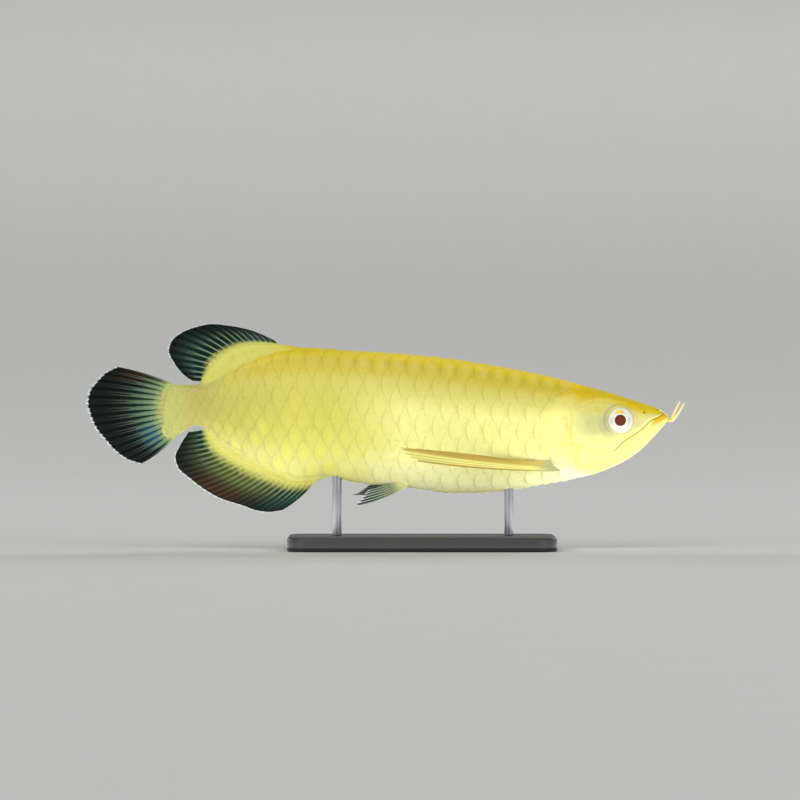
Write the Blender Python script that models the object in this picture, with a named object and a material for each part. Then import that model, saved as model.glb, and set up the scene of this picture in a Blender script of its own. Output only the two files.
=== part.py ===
"""An asian arowana at life size, swimming, held over a flat base by two short rods.

The fish is drawn in its own side view: "s" is the distance behind the snout and "h" the height above
the axis through the eye, both in millimetres. In the model the fish looks along +X, its left side is
+Y, and the origin is on the floor under the middle of its length.
"""

import math

import bmesh
import bpy
import numpy as np
from mathutils import Matrix, Vector

MM = 0.001

# Driving sizes, in millimetres
TOTAL_LENGTH = 503.0  # snout to the end of the tail fin
BARBEL_REACH = 12.8  # how far the barbels stand in front of the snout
AXIS_HEIGHT = 112.0  # the eye's level above the floor
GAP = 0.3  # clearance between two nodes that touch
SNOUT_X = (TOTAL_LENGTH - BARBEL_REACH) / 2

# The body without the fleshy bases of the fins. Each row holds the distance behind the snout, the
# level of the back and of the keel, the half width, and the level where the body is widest.
BODY = np.array(
    (
        (0.0, 1.7, 1.7, 0.0, 1.7),
        (1.3, 3.6, -1.0, 3.4, 1.3),
        (4.0, 6.0, -4.3, 5.8, 1.0),
        (8.0, 9.0, -9.0, 7.8, 1.0),
        (15.0, 12.0, -16.6, 10.0, 1.5),
        (25.0, 15.3, -26.4, 12.3, 3.0),
        (36.0, 18.8, -34.2, 14.4, 4.0),
        (50.0, 23.2, -41.2, 16.6, 3.0),
        (64.0, 27.2, -46.4, 18.6, 0.0),
        (80.0, 31.4, -50.2, 20.6, -4.0),
        (100.0, 36.8, -53.6, 22.4, -8.0),
        (120.0, 41.2, -57.2, 23.4, -8.0),
        (140.0, 44.9, -60.6, 24.0, -7.0),
        (165.0, 49.2, -62.4, 24.2, -5.0),
        (187.0, 52.5, -62.6, 23.8, -3.0),
        (208.0, 54.9, -60.6, 23.0, 0.0),
        (230.0, 56.9, -58.0, 21.8, 3.0),
        (256.0, 58.6, -55.9, 20.2, 6.0),
        (277.0, 59.8, -52.6, 18.6, 8.0),
        (290.0, 60.9, -49.4, 17.5, 9.0),
        (303.0, 61.9, -50.6, 16.4, 10.0),
        (317.0, 62.4, -51.4, 15.0, 11.0),
        (331.0, 60.8, -48.2, 13.6, 12.0),
        (349.0, 55.9, -41.2, 11.4, 12.5),
        (367.0, 48.6, -32.6, 9.2, 13.0),
        (384.0, 38.6, -22.6, 7.4, 13.5),
        (398.0, 31.4, -9.0, 6.2, 14.0),
        (407.0, 30.1, -4.6, 5.4, 13.0),
        (421.0, 30.4, -12.0, 3.8, 11.0),
        (438.0, 34.6, -22.0, 2.0, 8.0),
    )
)
# How blunt the back is and how sharp the keel is: 1 is an ellipse, less is flatter, more is keener.
BACK_SHAPE = ((0, 0.75), (25, 0.6), (64, 0.62), (110, 0.78), (250, 0.9), (330, 1.0), (438, 1.0))
KEEL_SHAPE = ((0, 0.9), (25, 1.1), (64, 1.2), (110, 1.25), (250, 1.2), (330, 1.05), (438, 1.0))
# The outline's level where the fleshy base of a fin stands over the body
DORSAL_BASE = (
    (317, 62.4), (339, 65.4), (353, 66.0), (366, 64.4), (379, 59.2), (387, 53.6), (394, 46.8),
    (399, 38.6), (403, 32.0), (408, 30.1),
)
ANAL_BASE = (
    (292, -49.2), (304, -52.6), (318, -54.6), (332, -51.8), (348, -46.0), (367, -37.6), (381, -29.6),
    (392, -20.8), (397, -11.6), (401, -5.2), (408, -4.8),
)
BASE_ROOT = 2.8  # half thickness of a fin base where it leaves the body
BASE_EDGE = 1.5  # half thickness where the fin begins
BASE_DEPTH = 5.0  # how far the base reaches down into the body

# Parting lines round the body: share of the way from keel to back, distance behind the snout
GILL_LINE = (
    (0, 76), (0.1, 89), (0.2, 100.5), (0.31, 109), (0.46, 113), (0.63, 111.5), (0.74, 106), (0.82, 98),
    (0.9, 89), (1, 80),
)
VENT_LINE = ((0, 299), (1, 299))
TAIL_LINE = ((0, 428), (0.25, 434), (0.5, 436), (0.75, 434), (1, 428))

# The mouth from the tip of the upper jaw back to its corner, in side view
MOUTH = ((4.3, 5.4), (9.0, 2.6), (16.0, -0.6), (23.0, -7.4), (32.0, -13.6), (41.0, -20.0), (48.5, -27.6))
THROAT = ((53.0, -35.0), (60.0, -60.0))
UPPER_LIP = 4.4  # width of the lip's band above the mouth
LOWER_LIP = 4.0
LIP_RISE = 0.9
LIP_SPARE = 0.8
LIP_FULLNESS = ((0, 0.5), (0.2, 1.0), (0.6, 0.7), (1, 0.35))

EYE_AT = (42.0, 0.0)
EYE_RADIUS = 13.4
EYE_THICK = 8.6  # half thickness of the eyeball
EYE_SHOWS = 3.4  # how far it stands out of the head
RIM_RADIUS = 12.6
RIM_WIDTH = 2.4

NOSTRILS = ((22.0, 6.2, 1.5), (10.5, 8.0, 1.1))  # distance, level and radius
NOSTRIL_RISE = 1.0

GILL_COVER_FRONT = ((0, 88.0), (0.3, 83.0), (0.6, 82.0), (1, 84.5))
GILL_COVER_SPAN = (3, 11)  # first row and end of the rows round the body that it covers
GILL_COVER_RISE = 0.7
GILL_COVER_DEPTH = 3.2

KEEL_SCUTES = 15
KEEL_SCUTE_SPAN = (84.0, 204.0)

DORSAL_RAYS = 19
DORSAL_SPAN = (337.0, 402.5)
DORSAL_BOW = ((-0.6, 0, 0.6), (-1.5, 0, 2.4), (0, 0, 0.3))
DORSAL_TIPS = (
    (342, 69.4), (350, 73.2), (362, 77.8), (379, 81.4), (395, 83.0), (409, 80.4), (422, 75.2), (430.5, 67.5),
    (432.5, 60.0), (427.5, 49.0), (417.5, 37.6), (411, 33.6),
)
ANAL_RAYS = 26
ANAL_SPAN = (304.0, 400.0)
ANAL_BOW = ((-2.6, 0, -3.2), (-1.5, 0, -2.5), (0, 0, -1.0))
ANAL_TIPS = (
    (334.5, -78.6), (346, -80.2), (357, -78.8), (369, -74.4), (386, -69.2), (400, -61.8), (414, -51.2),
    (425, -40.4), (426.8, -32.6), (422, -21.6), (414.5, -10.6),
)
CAUDAL_RAYS = 15
CAUDAL_BOW = ((0, 0, 3.2), (0, 0, 0), (0, 0, -4.5))
CAUDAL_TIPS = (
    (476.6, 45.8), (487, 40.6), (495.6, 32.0), (501.4, 24.0), (503.0, 14.0), (500.8, 5.0), (495.4, -7.4),
    (487, -17.6), (478, -27.4), (466.5, -35.0), (455.5, -38.2),
)
# Thickness of a ray at its root and tip, and of the skin between rays
MEDIAN_FIN = (2.2, 0.7, 1.4, 0.5)
PAIRED_FIN = (1.4, 0.7, 0.9, 0.5)

# Tip of each ray of a paired fin: distance, level and how far out from the middle
PECTORAL_ROOT = ((101.5, -44.4), (104.5, -35.4))
PECTORAL_BOW = ((0, 4.0, -5.0), (0, 3.0, -3.5), (0, 2.0, -2.5))
PECTORAL_TIPS = (
    (217, -34.9, 62.0), (227, -28.6, 55.0), (231.5, -23.6, 47.0), (217, -24.6, 41.0), (200, -26.2, 36.0),
    (182, -28.0, 32.0), (164, -30.0, 29.0),
)
PELVIC_ROOT = ((224.0, -56.4), (232.0, -53.4))
PELVIC_BOW = ((-1.0, 1.0, -5.0), (0, 0.8, -2.0), (0, 0.5, 0))
PELVIC_RIGHT_TIPS = (
    (271.5, -74.2, 17.0), (267, -70.6, 14.8), (264.5, -67.4, 12.6), (262.5, -64.2, 10.8), (260, -61.2, 9.4),
)
PELVIC_LEFT_TIPS = (
    (274.0, -65.0, 20.0), (269, -63.6, 17.4), (266, -61.6, 15.2), (263, -59.4, 13.2), (260, -57.2, 11.6),
)

BARBEL_ROUTE = ((3.0, 1.2, 0.6), (-1.6, 2.4, -0.2), (-3.6, 3.0, 2.0), (-6.4, 3.6, 6.4))
BARBEL_RADIUS = 1.05
BARBEL_TIP_RADIUS = 0.5

BASE_LENGTH = 230.0
BASE_WIDTH = 136.0
BASE_THICK = 12.0
BASE_CORNER = 18.0
BASE_EDGE_BEVEL = 1.6
BASE_UNDER = 213.0  # its middle, as a distance behind the snout
ROD_RADIUS = 4.0
RODS_UNDER = (("front", 138.0), ("rear", 286.0))
ROD_SIDES = 20

# Mesh density
AROUND = 14  # faces from keel to back on one side
HEAD_ROWS = 20
TRUNK_ROWS = 22
TAIL_ROWS = 24

COLOURS = {
    "scales": ((0.86, 0.76, 0.20), 0.35, 0.25),
    "head_skin": ((0.84, 0.72, 0.22), 0.35, 0.15),
    "pale_skin": ((0.90, 0.88, 0.58), 0.35, 0.1),
    "fin": ((0.16, 0.27, 0.22), 0.35, 0.0),
    "gold_fin": ((0.74, 0.58, 0.20), 0.35, 0.0),
    "eye": ((0.86, 0.86, 0.84), 0.1, 0.0),
    "base": ((0.05, 0.05, 0.055), 0.45, 0.0),
    "rod": ((0.60, 0.60, 0.62), 0.3, 1.0),
}


# Curves


def smooth_curve(points):
    """A smooth function through (place, value) points that doesn't overshoot them."""
    xs, ys = np.array(points, float).T
    run = np.diff(xs)
    slope = np.diff(ys) / run
    tangent = np.zeros_like(ys)
    for k in range(1, len(xs) - 1):
        if slope[k - 1] * slope[k] > 0:
            before, after = 2 * run[k] + run[k - 1], run[k] + 2 * run[k - 1]
            tangent[k] = (before + after) / (before / slope[k - 1] + after / slope[k])
    tangent[0], tangent[-1] = slope[0], slope[-1]

    def at(x):
        x = np.clip(x, xs[0], xs[-1])
        k = np.clip(np.searchsorted(xs, x, side="right") - 1, 0, len(run) - 1)
        t = (x - xs[k]) / run[k]
        rise = (1 - t) ** 2 * (1 + 2 * t) * ys[k] + t**2 * (3 - 2 * t) * ys[k + 1]
        lean = t * (1 - t) ** 2 * tangent[k] - t**2 * (1 - t) * tangent[k + 1]
        return rise + run[k] * lean

    return at


def even_path(points, steps=400):
    """A smooth curve through points, as a function of the share of its length."""
    points = np.array(points, float)
    chord = np.concatenate(([0], np.cumsum(np.linalg.norm(np.diff(points, axis=0), axis=1))))
    fine = np.linspace(0, chord[-1], steps)
    axes = [smooth_curve(np.column_stack((chord, axis)))(fine) for axis in points.T]
    dense = np.column_stack(axes)
    length = np.concatenate(([0], np.cumsum(np.linalg.norm(np.diff(dense, axis=0), axis=1))))
    share = length / length[-1]
    return lambda q: np.array([np.interp(q, share, axis) for axis in dense.T])


def body_column(column):
    """A column of BODY as a function of s, read in the square root of s so that the nose is round."""
    curve = smooth_curve(np.column_stack((np.sqrt(BODY[:, 0]), BODY[:, column])))
    return lambda s: curve(np.sqrt(np.maximum(s, 0)))


back, keel, half_breadth, widest = (body_column(k) for k in range(1, 5))
back_shape, keel_shape = smooth_curve(BACK_SHAPE), smooth_curve(KEEL_SHAPE)
dorsal_base, anal_base = smooth_curve(DORSAL_BASE), smooth_curve(ANAL_BASE)


def outline_top(s):
    inside = (s > DORSAL_BASE[0][0]) & (s < DORSAL_BASE[-1][0])
    return np.where(inside, np.maximum(dorsal_base(s), back(s)), back(s))


def outline_low(s):
    inside = (s > ANAL_BASE[0][0]) & (s < ANAL_BASE[-1][0])
    return np.where(inside, np.minimum(anal_base(s), keel(s)), keel(s))


def fin_base(over, below_edge):
    """Half thickness of a fin base that rises "over" above the body, at a depth below its edge."""
    here = np.clip(over / 2.0, 0, 1)
    along = np.clip(1 - below_edge / (over + BASE_DEPTH), 0, 1)
    thick = (BASE_ROOT + (BASE_EDGE - BASE_ROOT) * along) * here
    return np.where(below_edge > over + BASE_DEPTH, 0, thick), here


def half_width(s, h):
    """The body's half width at a distance behind the snout and a level."""
    s, h = np.broadcast_arrays(np.asarray(s, float), np.asarray(h, float))
    top, low, wide = back(s), keel(s), widest(s)
    up = np.clip((h - wide) / np.maximum(top - wide, 1e-6), 0, 1)
    down = np.clip((wide - h) / np.maximum(wide - low, 1e-6), 0, 1)
    reach = np.where(h > wide, up, down)
    power = np.where(h > wide, back_shape(s), keel_shape(s))
    width = half_breadth(s) * (1 - reach**2) ** (power / 2)
    above = (outline_top(s) - h, outline_top(s) - top)
    below = (h - outline_low(s), low - outline_low(s))
    for edge, over in (above, below):
        thick, here = fin_base(over, edge)
        soft = 2.0 * here * np.clip(thick, 0, 1)
        width = (width + thick + np.sqrt((width - thick) ** 2 + soft**2)) / 2
        rounding = np.maximum(BASE_EDGE * here, 1e-6)
        width = width * np.sqrt(1 - (1 - np.clip(edge / rounding, 0, 1)) ** 2)
    return width


def in_model(s, y, h):
    """Points of the side view, with y to the fish's left, as model coordinates in metres."""
    s, y, h = np.broadcast_arrays(s, y, h)
    return np.stack((SNOUT_X - s, y, h + AXIS_HEIGHT), axis=-1) * MM


# Meshes


def material(slot):
    found = bpy.data.materials.get(slot)
    if found:
        return found
    colour, rough, metal = COLOURS[slot]
    made = bpy.data.materials.new(slot)
    made.use_nodes = True
    shader = made.node_tree.nodes["Principled BSDF"]
    shader.inputs["Base Color"].default_value = (*colour, 1)
    shader.inputs["Roughness"].default_value = rough
    shader.inputs["Metallic"].default_value = metal
    return made


def mesh_object(name, points, faces, slot):
    mesh = bpy.data.meshes.new(name)
    mesh.from_pydata([tuple(p) for p in points], [], [tuple(map(int, f)) for f in faces])
    tidy = bmesh.new()
    tidy.from_mesh(mesh)
    bmesh.ops.remove_doubles(tidy, verts=tidy.verts, dist=1e-6)
    bmesh.ops.dissolve_degenerate(tidy, edges=tidy.edges, dist=1e-7)
    bmesh.ops.recalc_face_normals(tidy, faces=tidy.faces)
    tidy.to_mesh(mesh)
    tidy.free()
    made = bpy.data.objects.new(name, mesh)
    made.data.materials.append(material(slot))
    bpy.context.scene.collection.objects.link(made)
    return made


def apply_modifiers(thing):
    graph = bpy.context.evaluated_depsgraph_get()
    thing.data = bpy.data.meshes.new_from_object(thing.evaluated_get(graph))
    thing.modifiers.clear()


def largest_surface(thing):
    """Drops every loose scrap that a Boolean left."""
    shape = bmesh.new()
    shape.from_mesh(thing.data)
    left, bodies = set(shape.faces), []
    while left:
        body, front = set(), [left.pop()]
        while front:
            face = front.pop()
            body.add(face)
            near = {f for e in face.edges for f in e.link_faces} & left
            left -= near
            front.extend(near)
        bodies.append(body)
    bodies.sort(key=len)
    scraps = [f for body in bodies[:-1] for f in body]
    bmesh.ops.delete(shape, geom=scraps, context="FACES")
    shape.to_mesh(thing.data)
    shape.free()


def combine(thing, others, operation, solver="EXACT"):
    """A Boolean of one object with several, applied, after which the others are removed."""
    group = bpy.data.collections.new("group")
    for other in others:
        group.objects.link(other)
    modifier = thing.modifiers.new("combine", "BOOLEAN")
    modifier.operation = operation
    modifier.operand_type = "COLLECTION"
    modifier.collection = group
    modifier.solver = solver
    apply_modifiers(thing)
    bpy.data.collections.remove(group)
    for other in others:
        bpy.data.objects.remove(other)
    largest_surface(thing)


def rows_round():
    """The rows round one side of the body, as shares of the way from keel to back."""
    return 0.5 - 0.5 * np.cos(np.linspace(0, math.pi, AROUND + 1))


def lofted(name, front, rear, rows, slot, crowd=1.0, grow=0.0):
    """The body between two parting lines, closed across at both ends.

    front and rear give s for each share of the way from keel to back. crowd over 1 sets the rows
    closer together at the front, and grow moves the surface out.
    """
    share = rows_round()
    start, end = front(share), rear(share)
    ring = 2 * AROUND
    points, faces = [], []
    for t in np.linspace(0, 1, rows + 1) ** crowd:
        s = start + (end - start) * t
        h = outline_low(s) + share * (outline_top(s) - outline_low(s))
        y = half_width(s, h)
        y[0] = y[-1] = 0
        points.append(in_model(s, y, h))
        points.append(in_model(s, -y, h)[-2:0:-1])
    for row in range(rows):
        for k in range(ring):
            a, b = row * ring + k, row * ring + (k + 1) % ring
            faces.append((a, b, b + ring, a + ring))
    for first in (0, rows * ring):
        for k in range(AROUND):
            corners = [first + k, first + k + 1, first + (ring - k - 1) % ring, first + (ring - k) % ring]
            faces.append(list(dict.fromkeys(corners)))
    made = mesh_object(name, np.concatenate(points), faces, slot)
    if grow:
        made.data.update()
        normals = [v.normal.copy() for v in made.data.vertices]
        for vertex, normal in zip(made.data.vertices, normals):
            vertex.co += normal * grow * MM
    return made


def closed_grid(name, outer, inner, slot, ring=False):
    """The solid between two sheets of points with the same rows and columns, in triangles.

    With ring the last row joins the first one again.
    """
    rows, columns = outer.shape[:2]
    number = np.arange(rows * columns).reshape(rows, columns)
    count = rows * columns
    if ring:
        number = np.concatenate((number, number[:1]))
    faces = []
    for i in range(len(number) - 1):
        for k in range(columns - 1):
            a, b, c, d = number[i, k], number[i, k + 1], number[i + 1, k + 1], number[i + 1, k]
            halves = ((a, b, c), (a, c, d)) if (i + k) % 2 else ((a, b, d), (b, c, d))
            faces.extend(halves)
            faces.extend((u + count, w + count, v + count) for u, v, w in halves)
    if ring:
        edges = [number[:, 0], number[:, -1]]
    else:
        edges = [np.concatenate((number[0], number[1:, -1], number[-1, -2::-1], number[-2::-1, 0]))]
    for edge in edges:
        for a, b in zip(edge[:-1], edge[1:]):
            faces.append((a, a + count, b + count))
            faces.append((a, b + count, b))
    points = np.concatenate((outer.reshape(-1, 3), inner.reshape(-1, 3)))
    return mesh_object(name, points, faces, slot)


def flank_plate(name, s, h, side, rise, depth, slot, ring=False):
    """A plate in the surface of the flank, over the grid of places (s, h)."""
    width = half_width(s, h)
    inner = np.maximum(width - depth, 0.4)
    return closed_grid(name, in_model(s, side * (width + rise), h), in_model(s, side * inner, h), slot, ring)


def prism(name, outline, half_depth):
    """An outline of the side view, extruded across the body."""
    s, h = np.array(outline, float).T
    points = np.concatenate((in_model(s, -half_depth, h), in_model(s, half_depth, h)))
    n = len(s)
    faces = [list(range(n)), list(range(n, 2 * n))[::-1]]
    faces.extend((k, (k + 1) % n, n + (k + 1) % n, n + k) for k in range(n))
    return mesh_object(name, points, faces, "scales")


def ball(name, at, side, radius, thick, y, slot, rings=10, segments=22):
    """A flattened ball on one side of the head, its axis across the fish."""
    shape = bmesh.new()
    bmesh.ops.create_uvsphere(shape, u_segments=segments, v_segments=rings, radius=1)
    place = Matrix.Translation(Vector(in_model(at[0], side * y, at[1])))
    size = Matrix.Diagonal((radius * MM, radius * MM, thick * MM, 1))
    turned = place @ Matrix.Rotation(math.pi / 2, 4, "X") @ size
    bmesh.ops.transform(shape, verts=shape.verts, matrix=turned)
    mesh = bpy.data.meshes.new(name)
    shape.to_mesh(mesh)
    shape.free()
    made = bpy.data.objects.new(name, mesh)
    made.data.materials.append(material(slot))
    bpy.context.scene.collection.objects.link(made)
    return made


def taper(name, path, radii, sides, slot):
    """A round bar along a path, each point with its own radius."""
    path = np.array(path, float)
    along = np.gradient(path, axis=0)
    points, faces = [], []
    for place, way, radius in zip(path, along, radii):
        turn = Vector(way).to_track_quat("Z", "Y")
        for k in range(sides):
            angle = math.tau * k / sides
            off = turn @ Vector((math.cos(angle), math.sin(angle), 0)) * (radius * MM)
            points.append(Vector(place) + off)
    for row in range(len(path) - 1):
        for k in range(sides):
            a, b = row * sides + k, row * sides + (k + 1) % sides
            faces.append((a, b, b + sides, a + sides))
    faces.append(list(range(sides))[::-1])
    faces.append(list(range((len(path) - 1) * sides, len(path) * sides)))
    return mesh_object(name, points, faces, slot)


# Fins


def ray_columns(count, branched):
    """The fin's columns across.

    Each is a place among the rays and its height on a ray, from web to ridge, before and after the
    ray branches.
    """
    foot, fork = 0.30, 0.17
    shape = (
        ((-foot, 0, 0), (-fork, 1, 1), (0, 1, 0), (fork, 1, 1), (foot, 0, 0))
        if branched
        else ((-foot, 0, 0), (0, 1, 1), (foot, 0, 0))
    )
    columns = [(ray + off, low, high) for ray in range(count) for off, low, high in shape]
    return [c for c in columns if -0.01 <= c[0] <= count - 0.99]


def fin_sheet(name, root, tip, bow, count, rows, slot, notch=0.05, sink=2.5, thick=MEDIAN_FIN):
    """A fin as one sheet with its rays raised in both faces.

    root and tip give a point (s, y, h) for each share of the way across the fin. bow is how far the
    handle of a ray's curve stands off the middle of its chord, for the first, middle and last ray. The
    skin between rays stops short of their tips by the share notch, and the root is sunk into the body,
    to be cut back to its surface afterwards.
    """
    columns = ray_columns(count, branched=name == "caudal_fin")
    share = np.array([c[0] for c in columns]) / (count - 1)
    start, end = root(share).T, tip(share).T
    off = np.array([np.interp(share, (0, 0.5, 1), axis) for axis in np.array(bow, float).T]).T
    middle = (start + end) / 2 + off
    ray_root, ray_tip, web_root, web_tip = thick
    grid, depth = [], []
    for r in np.concatenate(([-1.0], np.linspace(0, 1, rows) ** 0.9)):
        on_ray = np.array([c[1] if r < 0.45 else c[2] for c in columns], float)
        reach = np.where(np.array([c[2] for c in columns]) > 0, 1.0, 1 - notch)
        t = (max(r, 0) * reach)[:, None]
        path = (1 - t) ** 2 * start + 2 * t * (1 - t) * middle + t**2 * end
        if r < 0:
            lean = middle - start
            path = start - lean / np.linalg.norm(lean, axis=1, keepdims=True) * sink
        grid.append(path)
        out = max(r, 0)
        ray = ray_root + (ray_tip - ray_root) * out
        web = web_root + (web_tip - web_root) * out
        depth.append(web + (ray - web) * on_ray)
    grid, depth = np.array(grid), np.array(depth)
    normal = np.cross(np.gradient(grid, axis=0), np.gradient(grid, axis=1))
    normal /= np.linalg.norm(normal, axis=2, keepdims=True)
    half = normal * depth[:, :, None] / 2
    outer, inner = grid + half, grid - half
    return closed_grid(name, in_model(*np.moveaxis(outer, 2, 0)), in_model(*np.moveaxis(inner, 2, 0)), slot)


def in_middle_plane(path):
    """A path in the side view, as points of the fish's middle plane."""
    return lambda q: np.array([path(q)[0], np.zeros_like(q), path(q)[1]])


def along_outline(level, span):
    s = np.linspace(*span, 60)
    return in_middle_plane(even_path(np.column_stack((s, level(s)))))


def dorsal_fin():
    root = along_outline(outline_top, DORSAL_SPAN)
    tip = in_middle_plane(even_path(DORSAL_TIPS))
    return fin_sheet("dorsal_fin", root, tip, DORSAL_BOW, DORSAL_RAYS, 5, "fin")


def anal_fin():
    root = along_outline(outline_low, ANAL_SPAN)
    tip = in_middle_plane(even_path(ANAL_TIPS))
    return fin_sheet("anal_fin", root, tip, ANAL_BOW, ANAL_RAYS, 5, "fin")


def caudal_fin():
    share = np.linspace(1, 0, 40)
    s = smooth_curve(TAIL_LINE)(share)
    h = outline_low(s) + share * (outline_top(s) - outline_low(s))
    inset = np.sign(h - h.mean()) * -np.clip(np.abs(2 * share - 1) ** 6, 0, 1) * 1.2
    root = in_middle_plane(even_path(np.column_stack((s, h + inset))))
    tip = in_middle_plane(even_path(CAUDAL_TIPS))
    return fin_sheet("caudal_fin", root, tip, CAUDAL_BOW, CAUDAL_RAYS, 6, "fin", notch=0.035)


def paired_fin(name, root, tips, side, bow, slot, rows):
    """A pectoral or pelvic fin. Its root lies in the flank between two places (s, h)."""
    (s0, h0), (s1, h1) = root
    width = half_width(np.array((s0, s1)), np.array((h0, h1)))
    ends = np.array(((s0, side * width[0], h0), (s1, side * width[1], h1)))
    tips = np.array(tips, float)[:, (0, 2, 1)] * (1, side, 1)
    bow = np.array(bow) * (1, side, 1)
    start = lambda q: (ends[0][:, None] + (ends[1] - ends[0])[:, None] * q)
    return fin_sheet(name, start, even_path(tips), bow, len(tips), rows, slot, 0.06, 4.0, PAIRED_FIN)


# Parts of the fish


def section(name, which, slot="scales", grow=0.0):
    """The head, the trunk or the tail between its parting lines, before anything is cut or added."""
    gill, vent, end = (smooth_curve(line) for line in (GILL_LINE, VENT_LINE, TAIL_LINE))

    def behind(line, way):
        return lambda share: line(share) + way

    front, rear, rows, crowd = {
        "head": (np.zeros_like, behind(gill, -GAP / 2), HEAD_ROWS, 1.5),
        "trunk": (behind(gill, GAP / 2), behind(vent, -GAP / 2), TRUNK_ROWS, 1.0),
        "tail": (behind(vent, GAP / 2), end, TAIL_ROWS, 1.0),
    }[which]
    return lofted(name, front, rear, rows, slot, crowd, grow)


def cut_to(thing, which):
    """Cuts a fin, barbel or rod back to the surface of a section, with the gap between."""
    combine(thing, [section("room", which, grow=GAP + 0.05)], "DIFFERENCE")


def lip(name, side, above, width, slot):
    """A low rounded band along the mouth, on one jaw, that tapers to the corner of the mouth.

    It starts across the mouth's line, where the cut that opens the mouth trims it.
    """
    share = np.linspace(0.02, 1, 13)
    line = even_path(MOUTH)(share)
    way = np.gradient(line, axis=1)
    way /= np.linalg.norm(way, axis=0)
    out = np.array((-way[1], way[0])) * (1 if above else -1)
    full = smooth_curve(LIP_FULLNESS)(share)
    across = np.array((0, 0.4, 0.75, 1.0))[:, None]
    off = across * (width * full + LIP_SPARE) - LIP_SPARE
    rise = LIP_RISE * full * np.array((0.7, 1.0, 0.6, -0.4))[:, None]
    rise[:, (0, -1)] = LIP_RISE * -0.4
    return flank_plate(name, line[0] + out[0] * off, line[1] + out[1] * off, side, rise, 2.5, slot)


def mouth_cut(name, shift):
    """Everything under the mouth and in front of the throat. shift moves it down and forward."""
    line = even_path(MOUTH)(np.linspace(0, 1, 13)).T
    outline = [(MOUTH[0][0], 14.0), *line, *THROAT, (-20.0, -60.0), (-20.0, 14.0)]
    return prism(name, [(s - shift, h - shift) for s, h in outline], 40)


def gill_plate(name, side, spread, rise, depth, behind):
    """The gill cover, or with a spread the room that it needs."""
    share = rows_round()[slice(*GILL_COVER_SPAN)][:, None]
    across = np.linspace(0, 1, len(share))[:, None]
    start = smooth_curve(GILL_COVER_FRONT)(across) - spread
    end = smooth_curve(GILL_LINE)(share) - GAP / 2 + behind
    share[0] -= spread / 90
    share[-1] += spread / 90
    s = start + (end - start) * np.linspace(0, 1, 7)[None, :]
    h = outline_low(s) + share * (outline_top(s) - outline_low(s))
    return flank_plate(name, s, h, side, rise, depth, "head_skin")


def eyeball(name, side, grow=0.0):
    """The eyeball, or with grow the socket that takes it."""
    y = half_width(*EYE_AT) + EYE_SHOWS - EYE_THICK
    return ball(name, EYE_AT, side, EYE_RADIUS + grow, EYE_THICK + grow, y, "eye")


def eye_rim(side):
    """A low ring of skin round the eye."""
    angle = np.linspace(0, math.tau, 24, endpoint=False)[:, None]
    radius = RIM_RADIUS + np.array((-3.0, -0.4, 0.5)) * RIM_WIDTH / 2
    s = EYE_AT[0] + radius * np.cos(angle)
    h = EYE_AT[1] + radius * np.sin(angle)
    rise = np.array((-0.2, 0.7, -0.4))
    return flank_plate("rim", s, h, side, rise, 2.2, "head_skin", ring=True)


def nostril(side, at, radius):
    """A short tube of skin and the hole in it."""
    s, h = at
    width = float(half_width(s, h))
    out = [in_model(s, side * (width + d), h) for d in (-2.0, NOSTRIL_RISE)]
    tube = taper("tube", out, (radius * 1.3, radius), 10, "head_skin")
    inside = [in_model(s, side * (width + d), h) for d in (-1.2, NOSTRIL_RISE + 1)]
    return tube, taper("hole", inside, (radius * 0.45, radius * 0.55), 8, "head_skin")


def keel_scutes():
    """Small plates along the belly's edge, each pointing back, with none where a rod carries it."""
    scutes = []
    pitch = (KEEL_SCUTE_SPAN[1] - KEEL_SCUTE_SPAN[0]) / KEEL_SCUTES
    for k in range(KEEL_SCUTES):
        start = KEEL_SCUTE_SPAN[0] + pitch * k
        if any(start - ROD_RADIUS - 1 < rod < start + pitch + ROD_RADIUS + 1 for _, rod in RODS_UNDER):
            continue
        s = start + np.array((0.0, 0.85, 0.98, 0.5)) * pitch
        h = keel(s) + np.array((1.2, -1.0, 1.4, 4.5))
        half = np.array((0.8, 0.7, 0.7, 2.4))
        points = np.concatenate((in_model(s, half, h), in_model(s, -half, h)))
        faces = [(0, 1, 2, 3), (7, 6, 5, 4)] + [(i, i + 4, (i + 1) % 4 + 4, (i + 1) % 4) for i in range(4)]
        scutes.append(mesh_object("scute", points, faces, "scales"))
    return scutes


def barbel(side):
    """A barbel at the tip of the lower jaw, curving up and forward."""
    name = "barbel_left" if side > 0 else "barbel_right"
    tip = (-9.8, 4.6, 16.2) if side > 0 else (-BARBEL_REACH, 4.6, 14.4)
    s, y, h = even_path((*BARBEL_ROUTE, tip))(np.linspace(0, 1, 12))
    radii = np.linspace(BARBEL_RADIUS, BARBEL_TIP_RADIUS, 12)
    return taper(name, in_model(s, side * y, h), radii, 8, "pale_skin")


def head_and_jaw():
    head = section("head", "head", "head_skin")
    jaw = section("lower_jaw", "head", "pale_skin")
    added = [lip("lip", side, True, UPPER_LIP, "head_skin") for side in (-1, 1)]
    added += [eye_rim(side) for side in (-1, 1)]
    holes = [gill_plate("room", side, GAP, 6.0, GILL_COVER_DEPTH + GAP, 6.0) for side in (-1, 1)]
    for side in (-1, 1):
        holes.append(eyeball("socket", side, GAP))
        for s, h, radius in NOSTRILS:
            tube, hole = nostril(side, (s, h), radius)
            added.append(tube)
            holes.append(hole)
    # The lips and the tip of the upper jaw lie so close that EXACT leaves edges with four faces here
    combine(head, added, "UNION", "MANIFOLD")
    combine(head, [mouth_cut("jaw_room", 0.0)], "DIFFERENCE", "MANIFOLD")
    combine(head, holes, "DIFFERENCE", "MANIFOLD")
    combine(jaw, [lip("lip", side, False, LOWER_LIP, "pale_skin") for side in (-1, 1)], "UNION")
    combine(jaw, [mouth_cut("jaw_shape", GAP * 0.8)], "INTERSECT")


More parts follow.
